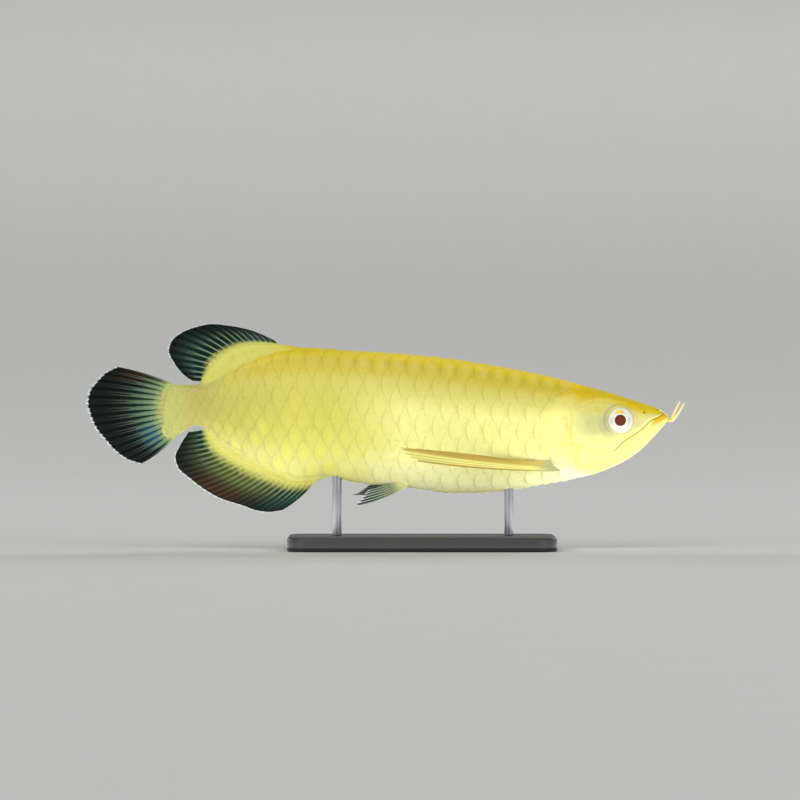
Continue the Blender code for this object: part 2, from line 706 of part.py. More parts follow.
def gill_covers():
    for side, name in ((-1, "gill_cover_right"), (1, "gill_cover_left")):
        gill_plate(name, side, 0.0, GILL_COVER_RISE, GILL_COVER_DEPTH, 0.0)


def eyes():
    eyeball("eye_right", -1)
    eyeball("eye_left", 1)


def trunk_and_tail():
    trunk = section("trunk", "trunk")
    combine(trunk, keel_scutes(), "UNION")
    section("tail", "tail")


def fins():
    for fin in (dorsal_fin(), anal_fin(), caudal_fin()):
        cut_to(fin, "tail")
    for side, name, tips in ((-1, "right", PELVIC_RIGHT_TIPS), (1, "left", PELVIC_LEFT_TIPS)):
        pectoral = f"pectoral_fin_{name}"
        cut_to(paired_fin(pectoral, PECTORAL_ROOT, PECTORAL_TIPS, side, PECTORAL_BOW, "gold_fin", 8), "trunk")
        cut_to(paired_fin(f"pelvic_fin_{name}", PELVIC_ROOT, tips, side, PELVIC_BOW, "fin", 5), "trunk")
        cut_to(barbel(side), "head")


# Stand


def stand():
    """A flat base with round corners, and two rods that carry the belly."""
    shape = bmesh.new()
    bmesh.ops.create_cube(shape, size=1)
    size = Matrix.Diagonal((BASE_LENGTH * MM, BASE_WIDTH * MM, BASE_THICK * MM, 1))
    place = Matrix.Translation(Vector(((SNOUT_X - BASE_UNDER) * MM, 0, BASE_THICK * MM / 2)))
    bmesh.ops.transform(shape, verts=shape.verts, matrix=place @ size)
    upright = [e for e in shape.edges if abs(e.verts[0].co.z - e.verts[1].co.z) > BASE_THICK * MM / 2]
    bmesh.ops.bevel(shape, geom=upright, offset=BASE_CORNER * MM, segments=6, affect="EDGES", profile=0.5)
    top = [e for e in shape.edges if min(v.co.z for v in e.verts) > BASE_THICK * MM * 0.9]
    rim = [e for e in top if len({f.normal.z > 0.9 for f in e.link_faces}) == 2]
    bmesh.ops.bevel(shape, geom=rim, offset=BASE_EDGE_BEVEL * MM, segments=2, affect="EDGES", profile=0.5)
    mesh = bpy.data.meshes.new("stand_base")
    shape.to_mesh(mesh)
    shape.free()
    base = bpy.data.objects.new("stand_base", mesh)
    base.data.materials.append(material("base"))
    bpy.context.scene.collection.objects.link(base)
    for name, s in RODS_UNDER:
        foot = BASE_THICK + GAP - AXIS_HEIGHT
        path = [in_model(s, 0.0, h) for h in (foot, float(keel(s)) + 8)]
        rod = taper(f"stand_rod_{name}", path, (ROD_RADIUS, ROD_RADIUS), ROD_SIDES, "rod")
        cut_to(rod, "trunk")


def main():
    for thing in list(bpy.data.objects):
        bpy.data.objects.remove(thing)
    head_and_jaw()
    gill_covers()
    eyes()
    trunk_and_tail()
    fins()
    stand()


main()
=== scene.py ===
"""The looks of an asian arowana: skin, scales, eyes, fins, barbels and its display stand.

As in the part, "s" is the distance behind the snout, "h" the height above the axis through the eye and
"y" the distance out of the middle plane, all in millimetres, with the fish looking along +X.
"""

import math

import bmesh
import bpy
import numpy as np
from mathutils import Matrix, Vector


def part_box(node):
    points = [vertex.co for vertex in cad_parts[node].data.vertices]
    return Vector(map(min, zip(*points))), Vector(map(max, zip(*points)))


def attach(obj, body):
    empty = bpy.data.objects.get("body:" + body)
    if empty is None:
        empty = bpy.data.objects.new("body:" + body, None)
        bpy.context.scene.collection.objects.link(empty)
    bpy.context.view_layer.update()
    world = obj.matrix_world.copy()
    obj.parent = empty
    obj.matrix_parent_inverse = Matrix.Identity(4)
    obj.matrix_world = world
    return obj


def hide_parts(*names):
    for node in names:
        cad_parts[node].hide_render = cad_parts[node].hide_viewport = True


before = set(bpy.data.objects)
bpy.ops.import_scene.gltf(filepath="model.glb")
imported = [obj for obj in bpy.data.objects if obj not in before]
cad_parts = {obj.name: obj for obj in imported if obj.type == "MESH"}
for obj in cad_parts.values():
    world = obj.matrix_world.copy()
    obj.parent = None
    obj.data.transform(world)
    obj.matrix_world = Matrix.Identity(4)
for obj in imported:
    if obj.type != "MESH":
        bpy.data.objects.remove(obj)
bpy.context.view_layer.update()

MM = 0.001
SNOUT_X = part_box("lower_jaw")[1].x / MM
EYE_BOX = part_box("eye_right")
AXIS_HEIGHT = (EYE_BOX[0].z + EYE_BOX[1].z) / 2 / MM
BASE_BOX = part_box("stand_base")

# The body without the fleshy bases of the fins: distance, back, keel, half width, widest level
BODY = np.array(
    (
        (0.0, 1.7, 1.7, 0.0, 1.7),
        (1.3, 3.6, -1.0, 3.4, 1.3),
        (4.0, 6.0, -4.3, 5.8, 1.0),
        (8.0, 9.0, -9.0, 7.8, 1.0),
        (15.0, 12.0, -16.6, 10.0, 1.5),
        (25.0, 15.3, -26.4, 12.3, 3.0),
        (36.0, 18.8, -34.2, 14.4, 4.0),
        (50.0, 23.2, -41.2, 16.6, 3.0),
        (64.0, 27.2, -46.4, 18.6, 0.0),
        (80.0, 31.4, -50.2, 20.6, -4.0),
        (100.0, 36.8, -53.6, 22.4, -8.0),
        (120.0, 41.2, -57.2, 23.4, -8.0),
        (140.0, 44.9, -60.6, 24.0, -7.0),
        (165.0, 49.2, -62.4, 24.2, -5.0),
        (187.0, 52.5, -62.6, 23.8, -3.0),
        (208.0, 54.9, -60.6, 23.0, 0.0),
        (230.0, 56.9, -58.0, 21.8, 3.0),
        (256.0, 58.6, -55.9, 20.2, 6.0),
        (277.0, 59.8, -52.6, 18.6, 8.0),
        (290.0, 60.9, -49.4, 17.5, 9.0),
        (303.0, 61.9, -50.6, 16.4, 10.0),
        (317.0, 62.4, -51.4, 15.0, 11.0),
        (331.0, 60.8, -48.2, 13.6, 12.0),
        (349.0, 55.9, -41.2, 11.4, 12.5),
        (367.0, 48.6, -32.6, 9.2, 13.0),
        (384.0, 38.6, -22.6, 7.4, 13.5),
        (398.0, 31.4, -9.0, 6.2, 14.0),
        (407.0, 30.1, -4.6, 5.4, 13.0),
        (421.0, 30.4, -12.0, 3.8, 11.0),
        (438.0, 34.6, -22.0, 2.0, 8.0),
    )
)
BACK_SHAPE = ((0, 0.75), (25, 0.6), (64, 0.62), (110, 0.78), (250, 0.9), (330, 1.0), (438, 1.0))
KEEL_SHAPE = ((0, 0.9), (25, 1.1), (64, 1.2), (110, 1.25), (250, 1.2), (330, 1.05), (438, 1.0))
DORSAL_BASE = (
    (317, 62.4), (339, 65.4), (353, 66.0), (366, 64.4), (379, 59.2), (387, 53.6), (394, 46.8),
    (399, 38.6), (403, 32.0), (408, 30.1),
)
ANAL_BASE = (
    (292, -49.2), (304, -52.6), (318, -54.6), (332, -51.8), (348, -46.0), (367, -37.6), (381, -29.6),
    (392, -20.8), (397, -11.6), (401, -5.2), (408, -4.8),
)
BASE_ROOT = 2.8
BASE_EDGE = 1.5
BASE_DEPTH = 5.0

# Parting lines: share of the height from keel to back, distance behind the snout
GILL_LINE = (
    (0, 76), (0.1, 89), (0.2, 100.5), (0.31, 109), (0.46, 113), (0.63, 111.5), (0.74, 106), (0.82, 98),
    (0.9, 89), (1, 80),
)
TAIL_LINE = ((0, 428), (0.25, 434), (0.5, 436), (0.75, 434), (1, 428))
MOUTH = ((4.3, 5.4), (9.0, 2.6), (16.0, -0.6), (23.0, -7.4), (32.0, -13.6), (41.0, -20.0), (48.5, -27.6))
MOUTH_FRONT = 3.7  # where the mouth passes over the tip of the lower jaw

EYE_AT = (42.8, -0.4)
EYE_RADIUS = 13.4
EYE_THICK = 8.6
EYE_SHOWS = 3.4
PUPIL_EDGE = (5.2, 4.7)  # radii between which the paint turns from iris to pupil
IRIS_EDGE = (10.3, 11.2)  # and from iris to the rim of the eye
EYE_FOLDS = (15.4, 17.0, 18.8)  # radii of the folds behind the eye
NOSTRILS = ((22.0, 6.2, 1.5), (10.5, 8.0, 1.1))
PORES = ((33.7, -6.2), (30.4, -3.4), (36.8, -10.6), (27.0, 1.4), (24.5, 9.6))
JAW_PORE_LINE = ((10.0, -3.6), (22.0, -14.6), (34.0, -24.4), (48.0, -34.0))
JAW_PORES = 6

# Folds and plates of the head, as paths of distance and height
PREOPERCLE = ((84.6, 5.0), (84.6, -2.0), (85.8, -12.0), (84.6, -22.0))
PREOPERCLE_REAR = ((89.6, 2.0), (88.4, -8.0), (88.6, -16.0), (86.4, -22.0))
CROSS_FOLD = ((93.5, -21.0), (87.0, -21.6), (79.0, -21.4), (76.0, -23.4))
CURLED_FOLD = ((79.6, -23.0), (78.6, -28.0), (81.6, -32.6), (83.0, -36.6), (79.6, -40.4))
THROAT_FOLD = ((52.0, -33.0), (60.0, -37.0), (70.0, -38.6), (79.0, -41.6))
SUBOPERCLE = ((84.0, -25.0), (92.0, -27.0), (100.0, -30.6), (106.0, -33.0))
CHEEK_LINES = (
    ((57.0, 3.0), (66.0, 3.6), (77.0, 4.8), (83.0, 6.0)),
    ((55.0, -8.0), (64.0, -13.0), (74.0, -17.6), (81.0, -19.6)),
    ((47.0, -13.6), (52.0, -20.0), (58.0, -27.0)),
)
BROW = ((32.0, 12.6), (42.0, 15.4), (52.0, 17.4), (62.0, 18.6), (74.0, 15.4), (84.0, 11.0))
TAN_FOLDS = (PREOPERCLE, PREOPERCLE_REAR, CROSS_FOLD, CURLED_FOLD)
HEAD_GROOVES = (  # path, depth and width
    (PREOPERCLE, 0.35, 0.8),
    (PREOPERCLE_REAR, 0.3, 0.9),
    (CROSS_FOLD, 0.3, 0.7),
    (CURLED_FOLD, 0.45, 0.8),
    (THROAT_FOLD, 0.35, 0.8),
    (SUBOPERCLE, 0.35, 0.7),
    *((line, 0.22, 0.6) for line in CHEEK_LINES),
)

# Skin
SKIN_NODES = ("head", "lower_jaw", "gill_cover_right", "gill_cover_left", "trunk", "tail")
SKIN_UNDER_SCALES = 0.8
WELD = 2e-6  # points nearer to each other than this, in metres, become one
MOUTH_COLUMN = 40  # columns of the skin's grid from the keel to the mouth
SIDE_COLUMNS = 108  # and from the keel to the back
HEAD_ROWS = 190
BODY_ROWS = 120
GILL_ROWS = 8.5  # how far in front of the gill line the listed rows start
BEFORE_GILL = (7, 5.5, 4.2, 3.2, 2.4, 1.8, 1.3, 0.9, 0.6, 0.38, 0.2, 0.08)
BEHIND_GILL = (0.0, 0.06, 0.2, 0.45, 0.9, 1.6, 2.6, 4.0, 6.0)
HEAD_ENDS = 0.03  # this far behind the gill line the head's skin ends

# Scales
SCALE_PITCH = 14.5
END_PITCH = 8.6  # at the root of the tail fin
COLUMN_SPAN = (66.9, 434)
LATERAL = ((76, 0.47), (120, 0.47), (250, 0.46), (330, 0.46), (400, 0.5), (438, 0.5))  # share of the arc
FIRST_ROW, LAST_ROW = -4, 4  # on the keel and on the ridge of the back
ROWS_NARROW = (317.0, 430.0)  # between these distances the rows' height goes down to its end
ROW_HEIGHT_END = 7.6
SCALE_STEP = 0.34  # how far a scale's rear edge stands over the next scale
SCALE_THICK = 0.2
SCALE_BASE = -0.22  # level of a scale's surface where the one in front ends
SCALE_GRID = (15, 17)  # points along and across
BAKE_PATCH = 0.003
BARE_BACK = 303.0  # behind this distance the ridge of the back is bare skin
LAST_TOP_SCALE = 299.0
LAST_BELLY_SCALE = 290.0
SCALES_PARTED = 240  # each side's scales are two pieces, parted here
SCALE_SEED = 11
KEEL_SCUTE_SPAN = (84.0, 204.0)
KEEL_SCUTES = 15

# Fins, as in the part. Thickness is that of the skin at root and tip, then of the rays
MEDIAN_THICK = (1.1, 0.35, 2.1, 0.75)
PAIRED_THICK = (0.7, 0.35, 1.35, 0.7)
RAY_SEGMENT = 1.5  # length of a ray's joints
RAY_EDGE = 0.16  # how far the fin goes on past its first and last ray, in rays
DORSAL_RAYS = 19
DORSAL_SPAN = (337.0, 402.5)
DORSAL_BOW = ((-0.6, 0, 0.6), (-1.5, 0, 2.4), (0, 0, 0.3))
DORSAL_TIPS = (
    (342, 69.4), (350, 73.2), (362, 77.8), (379, 81.4), (395, 83.0), (409, 80.4), (422, 75.2),
    (430.5, 67.5), (432.5, 60.0), (427.5, 49.0), (417.5, 37.6), (411, 33.6),
)
ANAL_RAYS = 26
ANAL_SPAN = (304.0, 400.0)
ANAL_BOW = ((-2.6, 0, -3.2), (-1.5, 0, -2.5), (0, 0, -1.0))
ANAL_TIPS = (
    (334.5, -78.6), (346, -80.2), (357, -78.8), (369, -74.4), (386, -69.2), (400, -61.8), (414, -51.2),
    (425, -40.4), (426.8, -32.6), (422, -21.6), (414.5, -10.6),
)
CAUDAL_RAYS = 15
CAUDAL_BOW = ((0, 0, 3.2), (0, 0, 0), (0, 0, -4.5))
CAUDAL_TIPS = (
    (476.6, 45.8), (487, 40.6), (495.6, 32.0), (501.4, 24.0), (503.0, 14.0), (500.8, 5.0), (495.4, -7.4),
    (487, -17.6), (478, -27.4), (466.5, -35.0), (455.5, -38.2),
)
PECTORAL_ROOT = ((93.5, -43.6), (102.0, -35.6))
PECTORAL_BOW = ((0, 4.0, -5.0), (0, 3.0, -3.5), (0, 2.0, -2.5))
PECTORAL_TIPS = (
    (217, -34.9, 62.0), (227, -28.6, 55.0), (231.5, -23.6, 47.0), (217, -24.6, 41.0), (200, -26.2, 36.0),
    (182, -28.0, 32.0), (164, -30.0, 29.0),
)
PELVIC_ROOT = ((224.0, -56.4), (232.0, -53.4))
PELVIC_BOW = ((-1.0, 1.0, -5.0), (0, 0.8, -2.0), (0, 0.5, 0))
PELVIC_RIGHT_TIPS = (
    (271.5, -74.2, 17.0), (267, -70.6, 14.8), (264.5, -67.4, 12.6), (262.5, -64.2, 10.8), (260, -61.2, 9.4),
)
PELVIC_LEFT_TIPS = (
    (274.0, -65.0, 20.0), (269, -63.6, 17.4), (266, -61.6, 15.2), (263, -59.4, 13.2), (260, -57.2, 11.6),
)
BARBELS = {
    "left": ((3.0, 1.2, 0.2), (-1.2, 2.2, -0.4), (-3.2, 2.8, 3.0), (-5.7, 3.4, 8.3), (-9.8, 4.6, 16.2)),
    "right": ((3.0, 1.2, 0.2), (-1.8, 2.2, -0.8), (-4.6, 2.9, 1.4), (-8.0, 3.6, 6.0), (-12.7, 4.6, 14.4)),
}
BARBEL_RADIUS = 1.3
BARBEL_TIP_RADIUS = 0.6

# Stand, in metres
BASE_CORNER = 0.018
BASE_BEVEL = 0.0016
ROD_CHAMFER = 0.001

# Camera, stage and light
VIEW_WIDTH = 689.2  # width of the picture at the fish, in millimetres
VIEW_CENTRE = (13.3, 129.0)
CAMERA_DISTANCE = 4.0
SENSOR = 36.0
FLOOR_COLOUR = (0.72, 0.72, 0.71)
FLOOR_RADIUS, WALL_RADIUS, WALL_HEIGHT = 4.0, 7.5, 1.3
WORLD_COLOUR = (0.96, 0.98, 1.0, 1)
WORLD_STRENGTH = 0.42
PANEL_SIZE = (1.3, 0.5)  # the panel on the floor that lights the belly
PANEL_LEVEL = 0.003
PANEL_POWER = 3.7
# Name, turn round the fish, rise, strength and spread
LIGHTS = (
    ("key", -18, 44, 1.25, 35),
    ("front_left", -46, 16, 0.6, 20),
    ("front_right", 44, 16, 0.6, 20),
    ("back_left", 145, 26, 0.95, 30),
    ("back_right", -140, 22, 0.95, 30),
)


# Curves and the body's surface


def smooth_curve(points):
    """A smooth function through (place, value) points that doesn't overshoot them."""
    xs, ys = np.array(points, float).T
    run = np.diff(xs)
    slope = np.diff(ys) / run
    tangent = np.zeros_like(ys)
    for k in range(1, len(xs) - 1):
        if slope[k - 1] * slope[k] > 0:
            before, after = 2 * run[k] + run[k - 1], run[k] + 2 * run[k - 1]
            tangent[k] = (before + after) / (before / slope[k - 1] + after / slope[k])
    tangent[0], tangent[-1] = slope[0], slope[-1]

    def at(x):
        x = np.clip(x, xs[0], xs[-1])
        k = np.clip(np.searchsorted(xs, x, side="right") - 1, 0, len(run) - 1)
        t = (x - xs[k]) / run[k]
        rise = (1 - t) ** 2 * (1 + 2 * t) * ys[k] + t**2 * (3 - 2 * t) * ys[k + 1]
        lean = t * (1 - t) ** 2 * tangent[k] - t**2 * (1 - t) * tangent[k + 1]
        return rise + run[k] * lean

    return at


def even_path(points, steps=400):
    """A smooth curve through points, as a function of the share of its length."""
    points = np.array(points, float)
    chord = np.concatenate(([0], np.cumsum(np.linalg.norm(np.diff(points, axis=0), axis=1))))
    fine = np.linspace(0, chord[-1], steps)
    axes = [smooth_curve(np.column_stack((chord, axis)))(fine) for axis in points.T]
    dense = np.column_stack(axes)
    length = np.concatenate(([0], np.cumsum(np.linalg.norm(np.diff(dense, axis=0), axis=1))))
    share = length / length[-1]
    return lambda q: np.array([np.interp(q, share, axis) for axis in dense.T])


def ease(x):
    """0 below 0, 1 above 1, and a smooth rise between."""
    x = np.clip(x, 0, 1)
    return x * x * (3 - 2 * x)


def bell(x, width):
    """1 at 0, falling smoothly to almost 0 two widths away."""
    return np.exp(-((x / width) ** 2))


def body_column(column):
    """A column of BODY as a function of s, read in the square root of s so that the nose is round."""
    curve = smooth_curve(np.column_stack((np.sqrt(BODY[:, 0]), BODY[:, column])))
    return lambda s: curve(np.sqrt(np.maximum(s, 0)))


back, keel, half_breadth, widest = (body_column(k) for k in range(1, 5))
back_shape, keel_shape = smooth_curve(BACK_SHAPE), smooth_curve(KEEL_SHAPE)
dorsal_base, anal_base = smooth_curve(DORSAL_BASE), smooth_curve(ANAL_BASE)


def outline_top(s):
    inside = (s > DORSAL_BASE[0][0]) & (s < DORSAL_BASE[-1][0])
    return np.where(inside, np.maximum(dorsal_base(s), back(s)), back(s))


def outline_low(s):
    inside = (s > ANAL_BASE[0][0]) & (s < ANAL_BASE[-1][0])
    return np.where(inside, np.minimum(anal_base(s), keel(s)), keel(s))


def fin_base(over, below_edge):
    """Half thickness of a fin base that rises "over" above the body, at a depth below its edge."""
    here = np.clip(over / 2.0, 0, 1)
    along = np.clip(1 - below_edge / (over + BASE_DEPTH), 0, 1)
    thick = (BASE_ROOT + (BASE_EDGE - BASE_ROOT) * along) * here
    return np.where(below_edge > over + BASE_DEPTH, 0, thick), here


def half_width(s, h):
    """The body's half width at a distance behind the snout and a level."""
    s, h = np.broadcast_arrays(np.asarray(s, float), np.asarray(h, float))
    top, low, wide = back(s), keel(s), widest(s)
    up = np.clip((h - wide) / np.maximum(top - wide, 1e-6), 0, 1)
    down = np.clip((wide - h) / np.maximum(wide - low, 1e-6), 0, 1)
    reach = np.where(h > wide, up, down)
    power = np.where(h > wide, back_shape(s), keel_shape(s))
    width = half_breadth(s) * (1 - reach**2) ** (power / 2)
    above = (outline_top(s) - h, outline_top(s) - top)
    below = (h - outline_low(s), low - outline_low(s))
    for edge, over in (above, below):
        thick, here = fin_base(over, edge)
        soft = 2.0 * here * np.clip(thick, 0, 1)
        width = (width + thick + np.sqrt((width - thick) ** 2 + soft**2)) / 2
        rounding = np.maximum(BASE_EDGE * here, 1e-6)
        width = width * np.sqrt(1 - (1 - np.clip(edge / rounding, 0, 1)) ** 2)
    return width


def in_model(s, y, h):
    """Points of the side view, with y to the fish's left, as model coordinates in metres."""
    s, y, h = np.broadcast_arrays(s, y, h)
    return np.stack((SNOUT_X - s, y, h + AXIS_HEIGHT), axis=-1) * MM


class Flank:
    """The body's left surface as a fine table of sections, read by distance and share of the way up.

    The share is of the arc from keel to back. A share over 1 or under 0 runs over the midline onto the
    other side.
    """

    def __init__(self, step=0.75, around=240, fine=1200):
        self.s = np.concatenate((np.linspace(0, 12, 40)[:-1], np.arange(12, 438.01, step)))
        self.q = np.linspace(0, 1, around + 1)
        levels = 0.5 - 0.5 * np.cos(np.linspace(0, math.pi, fine + 1))
        sections, self.arc = [], []
        for s in self.s:
            low, top = float(outline_low(s)), float(outline_top(s))
            h = low + levels * (top - low)
            y = half_width(s, h)
            y[0] = y[-1] = 0
            length = np.concatenate(([0], np.cumsum(np.hypot(np.diff(h), np.diff(y)))))
            self.arc.append(length[-1])
            where = self.q * length[-1]
            sections.append((np.interp(where, length, y), np.interp(where, length, h)))
        self.y, self.h = np.moveaxis(np.array(sections), 1, 0)
        self.arc = np.array(self.arc)
        self.normal = self.find_normals()

    def find_normals(self):
        """Outward directions (s, y, h), smoothed across the midlines by reading both sides."""
        y = np.concatenate((-self.y[:, 3:0:-1], self.y, -self.y[:, -2:-5:-1]), axis=1)
        h = np.concatenate((self.h[:, 3:0:-1], self.h, self.h[:, -2:-5:-1]), axis=1)
        point = np.stack((np.broadcast_to(self.s[:, None], y.shape), y, h), axis=-1)
        along, up = np.gradient(point, axis=0), np.gradient(point, axis=1)
        normal = np.cross(up, along)
        length = np.linalg.norm(normal, axis=2, keepdims=True)
        normal = normal / np.maximum(length, 1e-9)
        normal = normal[:, 3:-3]
        normal[0] = (-1, 0, 0)
        normal[:, 0, 1] = normal[:, -1, 1] = 0
        return normal / np.linalg.norm(normal, axis=2, keepdims=True)

    def read(self, s, q):
        """Points (s, y, h) and normals at distances s and shares q."""
        s, q = np.broadcast_arrays(np.asarray(s, float), np.asarray(q, float))
        side = np.where((q > 1) | (q < 0), -1.0, 1.0)
        q = np.where(q > 1, 2 - q, np.abs(q))
        s = np.clip(s, self.s[0], self.s[-1])
        i = np.clip(np.searchsorted(self.s, s, side="right") - 1, 0, len(self.s) - 2)
        a = (s - self.s[i]) / (self.s[i + 1] - self.s[i])
        place = q * (len(self.q) - 1)
        k = np.clip(place.astype(int), 0, len(self.q) - 2)
        b = place - k

        def blend(table):
            w = [(1 - a) * (1 - b), (1 - a) * b, a * (1 - b), a * b]
            corners = [table[i, k], table[i, k + 1], table[i + 1, k], table[i + 1, k + 1]]
            if table.ndim == 3:
                w = [x[..., None] for x in w]
            return sum(x * c for x, c in zip(w, corners))

        point = np.stack((s, side * blend(self.y), blend(self.h)), axis=-1)
        normal = blend(self.normal)
        normal = normal / np.linalg.norm(normal, axis=-1, keepdims=True)
        normal[..., 1] *= side
        return point, normal

    def arc_at(self, s):
        return np.interp(s, self.s, self.arc)

    def share_of(self, s, h):
        """The share of the way up the arc at distances s and levels h."""
        s, h = np.broadcast_arrays(np.asarray(s, float), np.asarray(h, float))
        found = np.zeros(s.shape)
        for index in np.ndindex(s.shape):
            i = min(np.searchsorted(self.s, s[index]), len(self.s) - 1)
            found[index] = np.interp(h[index], self.h[i], self.q)
        return found


flank = Flank()


def lines_by_share(line):
    """A parting line, given by share of the height, as a function of the share of the arc."""
    share = np.linspace(0, 1, 61)
    s = smooth_curve(line)(share)
    h = outline_low(s) + share * (outline_top(s) - outline_low(s))
    q = flank.share_of(s, h)
    q[0], q[-1] = 0, 1
    return lambda at: np.interp(at, q, s)


gill_edge, tail_edge = lines_by_share(GILL_LINE), lines_by_share(TAIL_LINE)
mouth_level = smooth_curve(MOUTH)


# Meshes


def new_object(name, data):
    made = bpy.data.objects.new(name, data)
    bpy.context.scene.collection.objects.link(made)
    return made


def make_mesh(name, points, faces, attributes=(), uv=None):
    """A smooth mesh from points in metres. attributes holds (name, values) with one value a point."""
    mesh = bpy.data.meshes.new(name)
    faces = np.asarray(faces, np.int32)
    mesh.vertices.add(len(points))
    mesh.vertices.foreach_set("co", np.asarray(points, np.float32).ravel())
    mesh.loops.add(faces.size)
    mesh.loops.foreach_set("vertex_index", faces.ravel())
    mesh.polygons.add(len(faces))
    mesh.polygons.foreach_set("loop_start", np.arange(0, faces.size, faces.shape[1], dtype=np.int32))
    for key, values in attributes:
        values = np.asarray(values, np.float32)
        kind, field = ("FLOAT_COLOR", "color") if values.ndim == 2 else ("FLOAT", "value")
        mesh.attributes.new(key, kind, "POINT").data.foreach_set(field, values.ravel())
    if uv is not None:
        layer = mesh.uv_layers.new(name="OFBake")
        layer.data.foreach_set("uv", np.asarray(uv, np.float32).ravel())
    mesh.update(calc_edges=True)
    mesh.validate()
    mesh.shade_smooth()
    return new_object(name, mesh)


def grid_faces(rows, columns, offset=0, flip=False):
    """Quads of a grid of points."""
    number = offset + np.arange(rows * columns).reshape(rows, columns)
    a, b, c, d = number[:-1, :-1], number[:-1, 1:], number[1:, 1:], number[1:, :-1]
    order = (a, d, c, b) if flip else (a, b, c, d)
    return np.stack(order, axis=-1).reshape(-1, 4)


def rim_faces(rows, columns):
    """Quads that close the edge between a grid and its copy, which follows it in the list of points."""
    count = rows * columns
    number = np.arange(count).reshape(rows, columns)
    edge = np.concatenate((number[0], number[1:, -1], number[-1, -2::-1], number[-2::-1, 0]))
    a, b = edge[:-1], edge[1:]
    return np.stack((a, a + count, b + count, b), axis=-1)


def sheet_faces(rows, columns, flip=False):
    """Quads of a closed sheet between a grid and its copy."""
    rim = rim_faces(rows, columns)
    faces = (
        grid_faces(rows, columns, 0, flip),
        grid_faces(rows, columns, rows * columns, not flip),
        rim[:, ::-1] if flip else rim,
    )
    return np.concatenate(faces)


def ring_faces(rows, columns):
    """Quads between closed rings of points."""
    number = np.arange(rows * columns).reshape(rows, columns)
    after = np.roll(number, -1, axis=1)
    return np.stack((number[:-1], number[1:], after[1:], after[:-1]), axis=-1).reshape(-1, 4)


def grid_uv(rows, columns, low, high):
    """For each point of a grid, a place in the rectangle from low to high."""
    u, v = np.linspace(low[0], high[0], rows), np.linspace(low[1], high[1], columns)
    return np.stack(np.meshgrid(u, v, indexing="ij"), axis=-1).reshape(-1, 2)


def two_sided(name, outer, inner, attributes=()):
    """A closed sheet between two grids of points, the outer one facing its own way."""
    rows, columns = outer.shape[:2]
    faces = sheet_faces(rows, columns)
    points = np.concatenate((outer.reshape(-1, 3), inner.reshape(-1, 3)))
    halves = (grid_uv(rows, columns, (0, 0), (1, 0.49)), grid_uv(rows, columns, (0, 0.51), (1, 1)))
    doubled = [(key, np.concatenate((values, values))) for key, values in attributes]
    return make_mesh(name, points, faces, doubled, np.concatenate(halves)[faces])


def sew(piece):
    """Welds points that coincide, closes open rings and turns every face outwards."""
    shape = bmesh.new()
    shape.from_mesh(piece.data)
    bmesh.ops.remove_doubles(shape, verts=shape.verts, dist=WELD)
    bmesh.ops.holes_fill(shape, edges=[e for e in shape.edges if e.is_boundary], sides=0)
    bmesh.ops.recalc_face_normals(shape, faces=shape.faces)
    shape.to_mesh(piece.data)
    shape.free()
    piece.data.shade_smooth()


def tube(name, path, radii, sides=24):
    """A round bar along a path in metres, with closed ends."""
    path, radii = np.array(path, float), np.array(radii, float)
    along = np.gradient(path, axis=0)
    along /= np.linalg.norm(along, axis=1, keepdims=True)
    turn = Vector(along[0]).to_track_quat("Z", "Y")
    points = []
    for place, way, radius in zip(path, along, radii):
        turn = (turn @ Vector((0, 0, 1))).rotation_difference(Vector(way)) @ turn
        for k in range(sides):
            angle = math.tau * k / sides
            off = turn @ Vector((math.cos(angle), math.sin(angle), 0))
            points.append(place + np.array(off) * radius)
    number = np.arange(len(points)).reshape(-1, sides)
    after = np.roll(number, -1, axis=1)
    faces = np.stack((number[:-1], after[:-1], after[1:], number[1:]), axis=-1).reshape(-1, 4)
    share = np.repeat(np.linspace(0, 1, len(path)), sides)
    made = make_mesh(name, points, faces, [("along", share)])
    sew(made)
    return made


def dress(piece, slot, material, *nodes):
    """Gives a piece its finish, its body and the nodes that it stands for."""
    piece.data.materials.clear()
    piece.data.materials.append(material)
    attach(piece, "root")
    if nodes:
        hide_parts(*nodes)
    return piece


# Colours. Each is a named sRGB colour; the markings are smooth functions of s and h.


def rgb(*colour):
    """An sRGB colour in the linear values that materials take."""
    colour = np.array(colour, float)
    return np.where(colour <= 0.04045, colour / 12.92, ((colour + 0.055) / 1.055) ** 2.4)


FLANK_LIGHT = rgb(0.90, 0.89, 0.55)
FLANK_REAR = rgb(0.77, 0.74, 0.34)
FLANK_LOW = rgb(0.79, 0.78, 0.39)
FLANK_UPPER = rgb(0.79, 0.75, 0.38)
TAIL_TAN = rgb(0.70, 0.67, 0.33)
BELLY = rgb(1.0, 1.0, 0.74)
THROAT = rgb(0.85, 0.85, 0.50)
PEDUNCLE = rgb(0.66, 0.62, 0.33)
BACK_GOLD = rgb(0.88, 0.77, 0.0)
BACK_TAN = rgb(0.75, 0.67, 0.13)
BACK_PINK = rgb(0.84, 0.76, 0.38)
BRIGHT_SPOT = rgb(0.86, 0.85, 0.30)
FIN_FLESH = rgb(0.75, 0.74, 0.37)
CAUDAL_FLESH = rgb(0.67, 0.68, 0.39)
HEAD_GOLD = rgb(0.78, 0.70, 0.05)
HEAD_ORANGE = rgb(0.80, 0.64, 0.0)
CHEEK = rgb(0.73, 0.73, 0.49)
SNOUT_PINK = rgb(0.78, 0.74, 0.52)
JAW_PALE = rgb(0.82, 0.83, 0.50)
LIP_ORANGE = rgb(0.82, 0.66, 0.0)
# painted shadow along the eye socket's edge
SOCKET_SHADOW = rgb(0.52, 0.55, 0.50)
FOLD_TAN = rgb(0.80, 0.70, 0.30)
MOUTH_BROWN = rgb(0.66, 0.52, 0.20)
NOSTRIL_DARK = rgb(0.36, 0.27, 0.12)
# Painted shade: the grey laid into the gill opening, the pectoral fin's armpit and the folds round the eye
SHADE_GREY = rgb(0.70, 0.70, 0.52)


